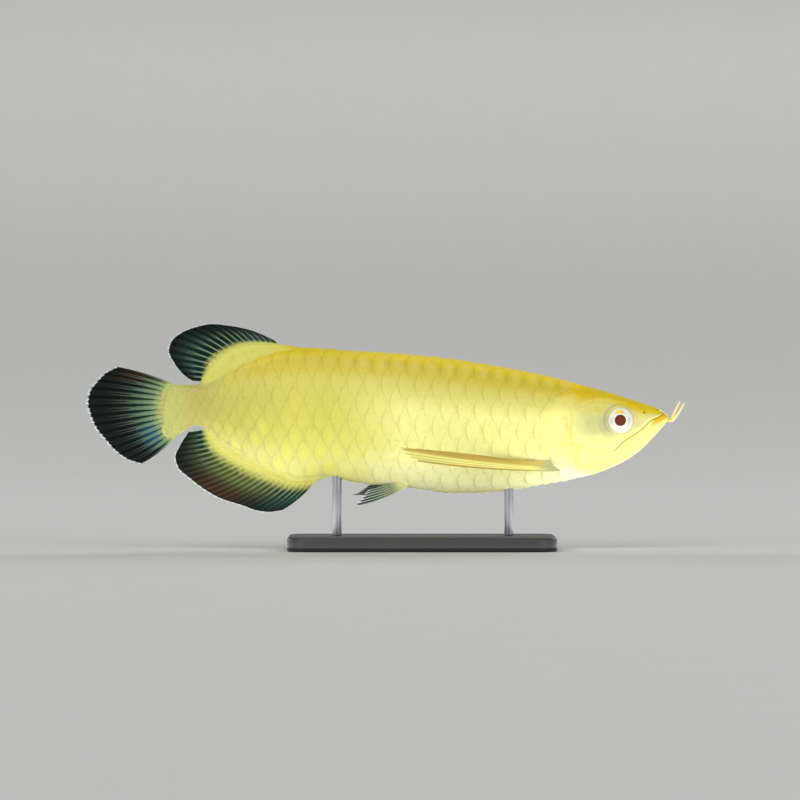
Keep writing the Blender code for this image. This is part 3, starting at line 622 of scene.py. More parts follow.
def lay(under, over, share):
    """One colour laid over others by a share at each point."""
    return under + (over - under) * np.clip(share, 0, 1)[..., None]


def painted(colour, layers, shape):
    """A first colour with others laid over it, each by its share at every point."""
    colour = np.broadcast_to(colour, shape + (3,))
    for over, share in layers:
        colour = lay(colour, over, share)
    return np.array(colour)


def opaque(colours):
    """A list of colours with a fourth channel of ones."""
    colours = colours.reshape(-1, 3)
    return np.concatenate((colours, np.ones((len(colours), 1))), axis=1)


def way_up(s, h):
    """The share of the way up from keel to back."""
    return (h - keel(s)) / np.maximum(back(s) - keel(s), 1e-6)


def body_paint(s, h):
    """The colour of the fish's skin and scales at places of the side view."""
    up = way_up(s, h)
    rear = ease((s - 212) / 85)
    before_tail = 1 - 0.8 * ease((s - 335) / 60)
    gold = ease((up - 0.91) / 0.06) * (1 - 0.6 * ease((s - 225) / 90))
    flesh_top = ease((h - back(s) + 3.5) / 6) * ease((s - 322) / 18)
    flesh_low = ease((keel(s) + 3.5 - h) / 6) * ease((s - 298) / 14)
    # painted shade in the armpit, where the pectoral fin's root meets the body under the gill cover
    armpit_shade = bell(s - 103, 8) * bell(h + 38, 7)
    layers = (
        (FLANK_REAR, rear),
        (FLANK_LOW, 0.9 * rear * ease((0.5 - up) / 0.35)),
        (TAIL_TAN, ease((s - 315) / 60)),
        (BELLY, ease((0.34 - up) / 0.3) * (1 - 0.8 * rear)),
        (FLANK_UPPER, ease((up - 0.56) / 0.22) * (1 - 0.6 * rear)),
        (BACK_TAN, ease((up - 0.74) / 0.16) * before_tail),
        (BACK_GOLD, gold * (1 - ease((s - 345) / 30))),
        (PEDUNCLE, ease((s - 372) / 35)),
        (FIN_FLESH, np.maximum(flesh_top, flesh_low) * (1 - ease((s - 398) / 10))),
        (CAUDAL_FLESH, ease((s - 402) / 26)),
        (SHADE_GREY, 0.75 * armpit_shade),
    )
    return painted(FLANK_LIGHT, layers, s.shape)


def scale_paint(s, h, x, across, row, tone):
    """The body's colour with each scale's own spot. x is the place along the scale in pitches."""
    colour = body_paint(s, h)
    up = way_up(s, h)
    if row >= 3:
        spot = bell(x + 0.02, 0.3) * bell(across - 0.1, 0.6) * ease((up - 0.82) / 0.1)
        colour = lay(colour, BACK_PINK, 0.6 * spot * (1 - ease((s - 250) / 90)))
    rear = ease((s - 235) / 60) * ease((405 - s) / 40) * ease((0.62 - up) / 0.3)
    spot = bell(x - 0.05, 0.32) * bell(across, 0.5)
    return lay(colour, BRIGHT_SPOT, (0.1 + 0.5 * tone) * spot * rear)


def head_paint(s, h, around_eye, over):
    """The head's colours, with painted shade round the eye. around_eye is the distance from the eye, over
    the one over the mouth.
    """
    up = way_up(s, h)
    cheek = ease((90 - s) / 22) * ease((s - 44) / 8) * ease((up - 0.34) / 0.2)
    front = ease((40 - s) / 12) * ease(over / 5)
    lower = 0.12 * ease((34 - s) / 14)
    gold = ease((up - 0.8 + lower - 0.03 * np.sin(s / 7)) / 0.12)
    orange = bell(s - 74, 9) * bell(up - 0.9, 0.08) + 0.8 * bell(s - 30, 9) * bell(up - 0.93, 0.08)
    tan = bell(s - 92, 10) * bell(up - 0.82, 0.08)
    wedge = ease((18 - s) / 6) * ease((0.4 - over) / 0.6) * ease((over + 5.4) / 2)
    turn = np.degrees(np.arctan2(h, s - EYE_AT[0]))
    # painted shadow: a grey crescent along the socket's edge, strongest behind the eye
    shadow_crescent = bell(around_eye - 13.6, 1.1) * bell(turn, 75)
    # painted shade in the socket's rim and in the folds behind the eye
    rings = sum(bell(around_eye - radius, 0.5) for radius in (13.2, *EYE_FOLDS))
    layers = (
        (THROAT, ease((0.32 - up) / 0.3)),
        (CHEEK, 0.95 * cheek),
        (SNOUT_PINK, 0.8 * front),
        (FLANK_UPPER, ease((up - 0.6) / 0.22)),
        (HEAD_GOLD, gold),
        (HEAD_ORANGE, 0.6 * orange),
        (BACK_PINK, 0.4 * tan),
        (JAW_PALE, ease(-over / 2) * ease((58 - s) / 10)),
        (LIP_ORANGE, wedge),
        (SOCKET_SHADOW, 0.7 * shadow_crescent),
        (SHADE_GREY * 0.7, 0.55 * rings * bell(turn + 35, 60)),
    )
    return painted(FLANK_LIGHT, layers, s.shape)


def nearest(path, s, h):
    """Distance from places (s, h) to a path, and the share of the path at the nearest point."""
    line = even_path(path)(np.linspace(0, 1, 160)).T
    flat = np.stack((s.ravel(), h.ravel()), axis=-1)
    best, where = np.full(len(flat), 1e9), np.zeros(len(flat))
    for k, (a, b) in enumerate(zip(line[:-1], line[1:])):
        way = b - a
        t = np.clip(((flat - a) @ way) / max(way @ way, 1e-12), 0, 1)
        gap = np.hypot(*(flat - a - t[:, None] * way).T)
        closer = gap < best
        best[closer], where[closer] = gap[closer], ((k + t) / (len(line) - 1))[closer]
    return best.reshape(s.shape), where.reshape(s.shape)


# Skin


def skin_columns(s):
    """Shares of the arc for the grid's columns at distances s, with one column along the mouth."""
    q_rest = MOUTH_COLUMN / SIDE_COLUMNS
    line_s = np.linspace(MOUTH[0][0], MOUTH[-1][0], 60)
    line_q = flank.share_of(line_s, mouth_level(line_s))
    at_mouth = np.interp(s, line_s, line_q)
    front = ease((MOUTH[0][0] - s) / (MOUTH[0][0] - MOUTH_FRONT))
    at_mouth = at_mouth + (1 - at_mouth) * front
    free = ease((s - MOUTH[-1][0]) / 24.0)
    split = at_mouth + (q_rest - at_mouth) * free
    dense = 0.3 + 0.7 * free
    k = np.arange(SIDE_COLUMNS + 1)
    above = (k - MOUTH_COLUMN) / (SIDE_COLUMNS - MOUTH_COLUMN)
    x = np.where(k <= MOUTH_COLUMN, 1 - k / MOUTH_COLUMN, above)
    off = x[None, :] * (dense[:, None] + (1 - dense[:, None]) * x[None, :])
    split = split[:, None]
    return np.where(k[None, :] <= MOUTH_COLUMN, split * (1 - off), split + (1 - split) * off)


def skin_grid():
    """Distances and shares of the skin's grid, whose rows follow the gill line and the tail's end."""
    plain = np.linspace(0, 1, SIDE_COLUMNS + 1)
    at_gill, at_end = gill_edge(plain), tail_edge(plain)
    rows = []
    for t in np.linspace(0, 1, HEAD_ROWS) ** 1.3:
        even = t * (at_gill.min() - GILL_ROWS)
        follow = ease((even - 5) / 20)
        rows.append(even + (t * (at_gill - GILL_ROWS) - even) * follow)
    rows += [at_gill - gap for gap in BEFORE_GILL]
    rows += [at_gill + gap for gap in BEHIND_GILL]
    first = BEHIND_GILL[-1]
    rows += [at_gill + first + (at_end - at_gill - first) * t for t in np.linspace(0, 1, BODY_ROWS)[1:]]
    s = np.array(rows)
    q = np.stack([skin_columns(row)[np.arange(len(row)), np.arange(len(row))] for row in s])
    return s, q


def groove(path, s, h, depth, width, fade=0.12):
    """A groove along a path, that fades towards its ends."""
    gap, where = nearest(path, s, h)
    return -depth * bell(gap, width) * ease(where / fade) * ease((1 - where) / fade)


def eye_relief(s, h):
    """The socket's hollow, its rim and the folds behind it, and the distance from the eye's middle."""
    ds, dh = s - EYE_AT[0], h - EYE_AT[1]
    r = np.hypot(ds, dh)
    angle = np.degrees(np.arctan2(dh, ds))
    relief = -6.5 * ease((11.3 - r) / 3.2)
    relief = relief + 0.6 * bell(r - 12.5, 1.1) - 0.35 * bell(r - 14.3, 0.6)
    behind = bell(angle + 35, 55)
    for k, radius in enumerate(EYE_FOLDS):
        wave = 0.35 * np.sin(np.radians(angle * 7 + 90 * k))
        relief = relief - (0.28 - 0.06 * k) * bell(r - radius - wave, 0.42) * behind
    return relief, r


def pits(s, h):
    """The pores under the eye and along the lower jaw."""
    along_jaw = even_path(JAW_PORE_LINE)(np.linspace(0.02, 1, JAW_PORES)).T
    return -sum(0.45 * bell(np.hypot(s - a, h - b), 0.55) for a, b in (*PORES, *along_jaw))


def nostril_relief(s, h):
    relief = np.zeros_like(s)
    for at_s, at_h, radius in NOSTRILS:
        r = np.hypot(s - at_s, h - at_h)
        relief += 0.8 * bell(r - radius * 0.95, radius * 0.4) - 1.6 * bell(r, radius * 0.45)
    return relief


def lips(s, h, over, along):
    """The mouth's crease and the lips on both sides of it. over is the signed distance."""
    here = ease((1 - along) / 0.06)
    full = smooth_curve(((0, 0.45), (0.2, 1.0), (0.6, 0.8), (1, 0.5)))(along)
    crease = -0.8 * bell(over, 0.36) * here
    upper_wide = smooth_curve(((0, 2.6), (0.25, 4.2), (1, 5.6)))(along)
    upper = np.where(over > 0, np.sin(math.pi * np.clip(over / upper_wide, 0, 1) ** 0.7), 0)
    lower = np.where(over < 0, np.sin(math.pi * np.clip(-over / 4.0, 0, 1) ** 0.75), 0)
    return crease + (0.75 * upper + 0.6 * lower) * full * here


def brow(s, h):
    """The ridge over the eye, with a furrow under it."""
    gap, along = nearest(BROW, s, h)
    ridge = 0.5 * bell(gap, 1.4) * ease(along / 0.2) * ease((1 - along) / 0.3)
    return ridge - 0.25 * bell(gap - 2.4, 0.9) * (h < np.interp(s, *np.array(BROW).T))


def head_relief(s, h):
    """How far the head's skin stands out of the plain body, and what its colours need."""
    relief, around_eye = eye_relief(s, h)
    gap, along = nearest(MOUTH, s, h)
    over = np.where(h > mouth_level(s), gap, -gap)
    over = np.where(s < MOUTH[0][0], -np.abs(over), over)
    relief = relief + lips(s, h, over, along) + nostril_relief(s, h) + pits(s, h)
    striae = np.sin(over * 4.2 + 0.6 * np.sin(s / 3))
    relief = relief + 0.05 * striae * ease((-over - 3) / 2) * ease((34 - s) / 12)
    relief = relief + sum(groove(path, s, h, depth, width) for path, depth, width in HEAD_GROOVES)
    relief = relief + 0.35 * bell(nearest(PREOPERCLE, s - 2.4, h)[0], 1.5)
    relief = relief + 0.4 * bell(nearest(CURLED_FOLD, s + 1.8, h)[0], 1.2)
    cover = ease((s - 88) / 6) * ease((112 - s) / 4) * bell(h + 10, 26)
    return relief + brow(s, h) + 0.5 * cover, around_eye, over


def throat_relief(s, q):
    """Folds of the gill skin under the throat, along the fish."""
    across = q * flank.arc_at(s)
    here = ease((s - 50) / 10) * ease((13 - across) / 3)
    return here * -0.35 * bell(np.mod(across, 3.2) - 1.6, 0.5)


def scaled_zone(s, q, h):
    """1 where scales cover the skin, 0 on the head and on the fleshy bases of the fins."""
    behind = s - gill_edge(q)
    top = np.where(s > BARE_BACK, back(s) - 2.0, 1e3)
    low = np.where(s > ANAL_BASE[0][0], keel(s) + 2.0, -1e3)
    zone = ease(behind / 1.5) * ease((top - h) / 8 + 0.5) * ease((h - low) / 8 + 0.5)
    return zone * ease((430 - s) / 6)


def skin_level(s, q, h, behind, open_gill, relief):
    """Levels of the skin: the head's relief, the gill cover's lip, and the room under the scales."""
    lip = 0.45 * ease((behind + 9) / 7) - 0.5 * ease((behind + 0.7) / 0.7) ** 2
    head = (relief + throat_relief(s, q)) * ease(-behind / 4) + lip * open_gill
    under_gill = -1.5 * ease((3.5 - behind) / 3) * open_gill
    body = np.minimum(under_gill, -SKIN_UNDER_SCALES * scaled_zone(s, q, h))
    return np.where(behind < HEAD_ENDS, head, body)


def skin_paint(s, h, behind, open_gill, around_eye, over):
    """The body's colours, with the head's in front of the gill line and painted shade in the gill opening.
    """
    on_head = behind < HEAD_ENDS
    colour = lay(body_paint(s, h), head_paint(s, h, around_eye, over), ease(-behind / 14))
    tan = np.max([bell(nearest(path, s, h)[0], 1.7) for path in TAN_FOLDS], axis=0)
    mouth_shut = bell(over, 0.36) * ease((49.5 - s) / 3)
    nostrils = sum(bell(np.hypot(s - a, h - b), r * 0.5) for a, b, r in NOSTRILS)
    layers = (
        (FOLD_TAN, 0.4 * tan * on_head),
        (MOUTH_BROWN, 0.8 * mouth_shut * on_head),
        (NOSTRIL_DARK, 0.8 * nostrils),
        # painted shade in the gill opening, just behind the cover's edge
        (SHADE_GREY, 0.7 * bell(behind - 0.8, 0.9) * open_gill),
    )
    return painted(colour, layers, s.shape)


def make_skin(material):
    """One skin over the head, jaw, gill covers, trunk and tail, welded at the snout and closed behind."""
    s, q = skin_grid()
    point, normal = flank.read(s, q)
    h = point[..., 2]
    behind = s - gill_edge(q)
    open_gill = ease(q / 0.05) * ease((0.97 - q) / 0.08)
    relief, around_eye, over = head_relief(s, h)
    colour = skin_paint(s, h, behind, open_gill, around_eye, over)
    spot = point + normal * skin_level(s, q, h, behind, open_gill, relief)[..., None]
    left = in_model(spot[..., 0], np.maximum(spot[..., 1], 0), spot[..., 2])
    ring = np.concatenate((left, left[:, -2:0:-1] * (1, -1, 1)), axis=1)
    colour = np.concatenate((colour, colour[:, -2:0:-1]), axis=1)
    rows, columns = ring.shape[:2]
    place = grid_uv(rows, columns + 1, (0, 0), (1, 1)).reshape(rows, columns + 1, 2)
    corners = (place[:-1, :-1], place[1:, :-1], place[1:, 1:], place[:-1, 1:])
    uv = np.stack(corners, axis=2).reshape(-1, 2)
    paint = [("paint", opaque(colour))]
    skin = make_mesh("skin", ring.reshape(-1, 3), ring_faces(rows, columns), paint, uv)
    sew(skin)
    return dress(skin, "head_skin", material, *SKIN_NODES)


# Scales


def row_heights(s):
    """Height of the rows above and below the lateral line at distances s."""
    start, end = ROWS_NARROW
    line, line_start = smooth_curve(LATERAL)(s), smooth_curve(LATERAL)(start)
    t = ease((s - start) / (end - start))
    heights = []
    for share, share_start in ((1 - line, 1 - line_start), (line, line_start)):
        free = flank.arc_at(start) * share_start / LAST_ROW
        narrow = free + (ROW_HEIGHT_END - free) * t
        heights.append(np.where(s < start, flank.arc_at(s) * share / LAST_ROW, narrow))
    return heights


def scale_share(s, row):
    """The share of the arc at distances s for a place among the rows, which needn't be whole."""
    above, below = row_heights(s)
    arc = flank.arc_at(s)
    return smooth_curve(LATERAL)(s) + np.where(row > 0, row * above, row * below) / arc


def pitch_at(s):
    """Distance between the scales of one row."""
    return SCALE_PITCH + (END_PITCH - SCALE_PITCH) * float(ease((s - 320) / 90))


def column_places():
    """Distances of the scales' columns, which stand half a pitch apart."""
    places, (s, last) = [], COLUMN_SPAN
    while s < last:
        places.append(s)
        s += pitch_at(s) / 2
    return places


def fin_base_sinks(s, h):
    """1 where a scale dives under the skin of a fin's base or of the tail fin's root."""
    top = np.where(s > BARE_BACK, back(s) - 1.0, 1e3)
    low = np.where(s > ANAL_BASE[0][0], keel(s) + 1.0, -1e3)
    sunk = np.maximum(ease((h - top) / 8 + 0.5), ease((low - h) / 8 + 0.5))
    return np.maximum(sunk, ease((s - 426) / 8))


def one_scale(centre, pitch, row, tilt, tone):
    """Points, attributes and bake places of one scale."""
    rows, columns = SCALE_GRID
    across = np.linspace(-1, 1, columns)[None, :]
    covered, free = np.linspace(0, 0.82, rows - 5, endpoint=False), np.linspace(0.82, 1, 5)
    along = np.concatenate((covered, free))[:, None]
    rear = pitch * (0.5 - 0.5 * np.abs(across) ** 2.2)
    front = -pitch * (0.92 - 0.3 * across**2)
    x = front + (rear - front) * along
    s = centre + x
    point, normal = flank.read(s, scale_share(s, row + across * 0.98))
    h = point[..., 2]
    level = x / pitch + 0.5
    step = SCALE_STEP * (0.5 if abs(row) == LAST_ROW else 1) * (0.6 + 0.4 * ease((centre - 180) / 100))
    height = SCALE_BASE + (step + tilt) * level + 0.16 * (1 - across**2) - 0.6 * fin_base_sinks(s, h)
    worn = 0.13 * ease((along - 0.93) / 0.07)
    root = (centre / 500, 0.25 * scale_share(np.array(centre), np.array(row)) + 0.02)
    values = {
        "outer": point + normal * (height - worn)[..., None],
        "inner": point + normal * (height - SCALE_THICK)[..., None],
        "paint": scale_paint(s, h, x / pitch, across, row, tone),
        "u": root[0] + BAKE_PATCH * (along - 0.5),
        "v": root[1] + BAKE_PATCH * across / 2,
        "rim": along, "across": across, "tone": tone, "level": level,
    }
    return {k: v if np.ndim(v) == 3 else np.broadcast_to(v, x.shape) for k, v in values.items()}


def scale_mesh(name, scales, side, material):
    """One joined mesh of many scales on one side of the fish."""
    rows, columns = SCALE_GRID
    one = sheet_faces(rows, columns, flip=side > 0)
    points, places = [], []
    for scale in scales:
        for key, shift in (("outer", 0), ("inner", 0.25)):
            s, y, h = np.moveaxis(scale[key], -1, 0)
            points.append(in_model(s, side * y, h).reshape(-1, 3))
            v = scale["v"] + (0.5 if side > 0 else 0) + shift
            places.append(np.stack((scale["u"], v), axis=-1).reshape(-1, 2))
    faces = np.concatenate([one + 2 * rows * columns * number for number in range(len(scales))])
    both = [scale for scale in scales for _ in range(2)]
    attributes = [("paint", opaque(np.concatenate([scale["paint"] for scale in both])))]
    for key in ("rim", "across", "tone", "level"):
        attributes.append((key, np.concatenate([scale[key].ravel() for scale in both])))
    made = make_mesh(name, np.concatenate(points), faces, attributes, np.concatenate(places)[faces])
    return dress(made, "scales", material)


def bare(centre, pitch, row):
    """Whether no scale grows at a place: on the head, past a middle row's end, or on a fin's base."""
    share = float(scale_share(np.array(centre), np.array(float(row))))
    inside = np.clip(share, 0, 1)
    past = {LAST_ROW: LAST_TOP_SCALE, FIRST_ROW: LAST_BELLY_SCALE}.get(row, COLUMN_SPAN[1])
    if centre > past or centre < float(gill_edge(inside)) - 0.45 * pitch or not -0.01 <= share <= 1.01:
        return True
    level = float(flank.read(centre, inside)[0][2])
    on_dorsal = centre > DORSAL_BASE[0][0] and level > float(back(centre)) + 3
    on_anal = centre > 300 and level < float(keel(centre)) - 3
    return on_dorsal or on_anal


def make_scales(material):
    """The scales of both sides. Those of the two middle rows go with the left side."""
    chance = np.random.default_rng(SCALE_SEED)
    groups = {(side, where): [] for side in (1, -1) for where in ("front", "rear")}
    for index, centre in enumerate(column_places()):
        pitch = pitch_at(centre)
        for row in range(FIRST_ROW, LAST_ROW + 1):
            if (index + row) % 2 or bare(centre, pitch, row):
                continue
            for side in (1,) if row in (FIRST_ROW, LAST_ROW) else (1, -1):
                tilt, tone = chance.normal(0, 0.02), chance.uniform(0, 1)
                where = "front" if centre < SCALES_PARTED else "rear"
                groups[side, where].append(one_scale(centre, pitch, float(row), tilt, tone))
    for (side, where), scales in groups.items():
        label = "left" if side > 0 else "right"
        scale_mesh(f"scales_{label}_{where}", scales, side, material)


def make_keel_scutes(material):
    """The saw edge of the belly: folded plates along the keel, each pointing back."""
    first, last = KEEL_SCUTE_SPAN
    pitch = (last - first) / KEEL_SCUTES
    rows, columns = 13, 17
    across, along = np.linspace(-1, 1, columns)[None, :], np.linspace(0, 1, rows)[:, None]
    length = pitch * (1.3 - 0.55 * np.abs(across) ** 1.6)
    one = sheet_faces(rows, columns)[:, ::-1]
    points, faces, paints, places = [], [], [], []
    for k in range(KEEL_SCUTES):
        start = first + pitch * (k - 0.25)
        s = start + length * along
        spread = 5.2 * across * (0.55 + 0.45 * np.sin(math.pi * np.clip(along, 0.05, 0.95)))
        point, normal = flank.read(s, spread / flank.arc_at(s))
        height = 0.1 + (0.9 * bell(across, 0.3) + 0.1) * ease(along) ** 1.4
        for sheet, level in enumerate((height, height - 0.5)):
            place = point + normal * level[..., None]
            points.append(in_model(*np.moveaxis(place, -1, 0)).reshape(-1, 3))
            paints.append(body_paint(point[..., 0], point[..., 2]))
            low = np.array((start / 500, (0.52, 0.02)[sheet]))
            places.append(grid_uv(rows, columns, low, low + BAKE_PATCH))
        faces.append(one + 2 * rows * columns * k)
    faces = np.concatenate(faces)
    paint = [("paint", opaque(np.concatenate(paints)))]
    made = make_mesh("keel_scutes", np.concatenate(points), faces, paint, np.concatenate(places)[faces])
    return dress(made, "scales", material)


# Eyes


def make_eye(name, side, material):
    """The eyeball's smooth dome, with what its paint needs: the distance from its middle, how far up
    its side a point lies, and the orange patch over the pupil.
    """
    rings, segments = 96, 128
    r = np.linspace(0, 1, rings)[:, None] ** 0.9 * EYE_RADIUS * 0.985
    angle = np.linspace(0, math.tau, segments, endpoint=False)[None, :]
    centre = float(half_width(*EYE_AT)) + EYE_SHOWS - EYE_THICK
    s = EYE_AT[0] + r * np.cos(angle)
    h = EYE_AT[1] + r * np.sin(angle)
    y = centre + EYE_THICK * np.sqrt(1 - (r / EYE_RADIUS) ** 2)
    arched = h - 6.9 + 0.06 * (s - 43.6) ** 2
    patch = ease((1.3 - np.hypot((s - 43.6) / 4.2, arched / 1.5)) / 0.6)
    values = (("radius", r), ("up", np.sin(angle)), ("patch", patch))
    attributes = [(key, np.broadcast_to(value, s.shape).ravel()) for key, value in values]
    points = in_model(s, side * y, h).reshape(-1, 3)
    made = make_mesh(f"{name}_ball", points, ring_faces(rings, segments), attributes)
    sew(made)
    return dress(made, "eye", material, name)


# Fins


def ray_profile(x, t, width, spread):
    """How high the ray stands over the skin between rays, at x from -0.5 to 0.5 across its strip.

    Past its fork a ray is two branches, and further out four. spread is how far they part.
    """
    fork = spread * ease((t - 0.34) / 0.16)
    split = spread * ease((t - 0.66) / 0.14)
    first, second = 0.17 * fork, 0.075 * split
    width = width * (1 - 0.35 * fork - 0.25 * split)
    total = 0
    for a in (-1, 1):
        for b in (-1, 1):
            total = np.maximum(total, bell(x - a * first - b * second, width))
    return total


def fin_places(count, columns):
    """The distance to the nearest ray, in rays, and the share of the fin, for each line of its grid."""
    strip = np.linspace(-0.5, 0.5, columns, endpoint=False)
    place = np.concatenate([ray + strip for ray in range(count)] + [[count - 0.5]])
    place = place[(place >= -RAY_EDGE) & (place <= count - 1 + RAY_EDGE)]
    return place - np.round(place), np.clip(place / (count - 1), 0, 1)


def bowed(start, end, bow, share, u):
    """Points at shares u of bowed lines from start to end, and each line's direction at its root."""
    off = np.array([np.interp(share, (0, 0.5, 1), axis) for axis in np.array(bow, float).T]).T
    middle = (start + end) / 2 + off
    w = u[..., None]
    lean = middle - start
    points = (1 - w) ** 2 * start + 2 * w * (1 - w) * middle + w**2 * end
    return points, lean / np.linalg.norm(lean, axis=1, keepdims=True)


def fin_depth(out, ridge, joint, thick, swell):
    """A fin's thickness: its skin, the jointed rays that stand out of it, and its fleshy root."""
    web_root, web_tip, ray_root, ray_tip = thick
    jointed = 1 - 0.22 * joint**6 * ease((out - 0.18) / 0.1)
    ray = (ray_root + (ray_tip - ray_root) * out) * jointed
    skin = web_root + (web_tip - web_root) * out
    depth = skin + np.maximum(ray - skin, 0) * ridge * (1 - 0.75 * ease((out - 0.9) / 0.1))
    return depth + swell * (1 - ease(out / 0.17)) ** 1.5


def fin_sheet(name, root, tip, bow, count, rows, columns, thick, swell=1.5, sink=3.0, notch=0.045,
              spread=1.0, inward=(0, 0, 0)):
    """A fin as one closed sheet with jointed, branching rays raised in both faces.

    swell is how much thicker the fin is at its root, one value or a function of the share of the root.
    sink and inward say how far the root goes on into the body.
    """
    x, share = fin_places(count, columns)
    start, end = root(share).T, tip(share).T
    out = np.concatenate(([0], np.linspace(0, 1, rows) ** 0.95))[:, None]
    web = 1 - notch * (0.35 + 0.65 * np.clip((np.abs(x) - 0.1) / 0.4, 0, 1))
    reach = web + (1 - web) * ray_profile(x, np.ones_like(x), 0.05, spread)
    grid, lean = bowed(start, end, bow, share, out * reach)
    grid[0] = start - lean * sink + inward
    ridge = ray_profile(x, out, 0.16, spread)
    joint = 0.5 + 0.5 * np.cos(2 * math.pi * out * np.linalg.norm(end - start, axis=1) / RAY_SEGMENT)
    depth = fin_depth(out, ridge, joint, thick, swell(share) if callable(swell) else swell)
    normal = np.cross(np.gradient(grid, axis=0), np.gradient(grid, axis=1))
    normal /= np.maximum(np.linalg.norm(normal, axis=2, keepdims=True), 1e-9)
    half = normal * depth[..., None] / 2
    shown = joint * ease((out - 0.15) / 0.1)
    values = (("ray", ridge), ("gap", np.abs(x)), ("along", out), ("place", share), ("joint", shown))
    attributes = [(key, np.broadcast_to(value, ridge.shape).ravel()) for key, value in values]
    outer, inner = (in_model(*np.moveaxis(grid + way * half, 2, 0)) for way in (1, -1))
    return two_sided(name, outer, inner, attributes)


def in_middle_plane(path):
    """A path (s, h) as a path (s, y, h)."""
    return lambda q: np.array([path(q)[0], np.zeros_like(q), path(q)[1]])


def along_outline(level, span):
    s = np.linspace(*span, 60)
    return in_middle_plane(even_path(np.column_stack((s, level(s)))))


def make_median(node, level, span, tips, bow, rays, material):
    """The dorsal or anal fin, rooted along the body's outline."""
    root, tip = along_outline(level, span), in_middle_plane(even_path(tips))
    made = fin_sheet(f"{node}_skin", root, tip, bow, rays, 74, 16, MEDIAN_THICK)
    return dress(made, "fin", material, node)


def make_caudal(material):
    share = np.linspace(1, 0, 40)
    s = smooth_curve(TAIL_LINE)(share)
    h = outline_low(s) + share * (outline_top(s) - outline_low(s))
    inset = np.sign(h - h.mean()) * -np.clip(np.abs(2 * share - 1) ** 6, 0, 1) * 1.2
    root = in_middle_plane(even_path(np.column_stack((s - 3, h + inset))))
    tip = in_middle_plane(even_path(CAUDAL_TIPS))

    def body_end(q):
        at_s, _, at_h = root(q)
        return np.maximum(2 * half_width(at_s, at_h) - 1.5, 0)

    sizes = (CAUDAL_BOW, CAUDAL_RAYS, 90, 18, MEDIAN_THICK)
    made = fin_sheet("caudal_fin_skin", root, tip, *sizes, swell=body_end, notch=0.035)
    return dress(made, "fin", material, "caudal_fin")


def through(points):
    """A smooth curve that passes each point at an even share."""
    share = np.linspace(0, 1, len(points))
    axes = [smooth_curve(np.column_stack((share, axis))) for axis in np.array(points, float).T]
    return lambda q: np.array([axis(q) for axis in axes])


def make_paired(node, root, tips, side, bow, slot, rays, rows, material):
    """A pectoral or pelvic fin, rooted in the flank between two places (s, h)."""
    s, h = np.array(root).T
    first, last = np.column_stack((s, side * (half_width(s, h) - 0.8), h))

    def start(q):
        return first[:, None] + (last - first)[:, None] * q

    tips = np.array(tips, float)[:, (0, 2, 1)] * (1, side, 1)
    made = fin_sheet(
        f"{node}_skin", start, through(tips), np.array(bow) * (1, side, 1), rays, rows, 16, PAIRED_THICK,
        swell=1.0, sink=1.5, notch=0.03, spread=0.25, inward=(0, -5.0 * side, 0),
    )
    return dress(made, slot, material, node)


def make_barbel(name, material):
    side = 1 if name == "left" else -1
    t = np.linspace(0, 1, 60)
    s, y, h = even_path(BARBELS[name])(t)
    radii = BARBEL_RADIUS + (BARBEL_TIP_RADIUS - BARBEL_RADIUS) * t
    radii = radii * (1 + 0.03 * np.sin(t * 70)) * np.sqrt(1 - np.clip((t - 0.96) / 0.045, 0, 1) ** 2)
    made = tube(f"barbel_{name}_skin", in_model(s, side * y, h), radii * MM)
    return dress(made, "pale_skin", material, f"barbel_{name}")


# Stand


def make_base(material):
    """The base plate again with finely rounded corners and edges."""
    low, high = BASE_BOX
    size = high - low
    shape = bmesh.new()
    bmesh.ops.create_cube(shape, size=1)
    place = Matrix.Translation((low + high) / 2) @ Matrix.Diagonal((*size, 1))
    bmesh.ops.transform(shape, verts=shape.verts, matrix=place)
    upright = [e for e in shape.edges if abs(e.verts[0].co.z - e.verts[1].co.z) > size.z / 2]
    bmesh.ops.bevel(shape, geom=upright, offset=BASE_CORNER, segments=16, affect="EDGES", profile=0.5)
    flat = [e for e in shape.edges if len({round(f.normal.z) for f in e.link_faces}) == 2]
    bmesh.ops.bevel(shape, geom=flat, offset=BASE_BEVEL, segments=4, affect="EDGES", profile=0.5)
    mesh = bpy.data.meshes.new("base_plate")
    shape.to_mesh(mesh)
    shape.free()
    mesh.shade_smooth()
    mesh.set_sharp_from_angle(angle=math.radians(40))
    return dress(new_object("base_plate", mesh), "base", material, "stand_base")


def make_rod(node, material):
    """A rod with a small chamfer at its foot."""
    low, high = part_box(node)
    z = (low.z, low.z + 0.6 * ROD_CHAMFER, low.z + ROD_CHAMFER, high.z - ROD_CHAMFER, high.z)
    path = [((low.x + high.x) / 2, 0, level) for level in z]
    radii = np.array((0.9, 0.99, 1, 1, 1)) * (high.x - low.x) / 2
    made = tube(f"{node}_bar", path, radii, sides=64)
    made.data.set_sharp_from_angle(angle=math.radians(40))
    return dress(made, "rod", material, node)


# Materials


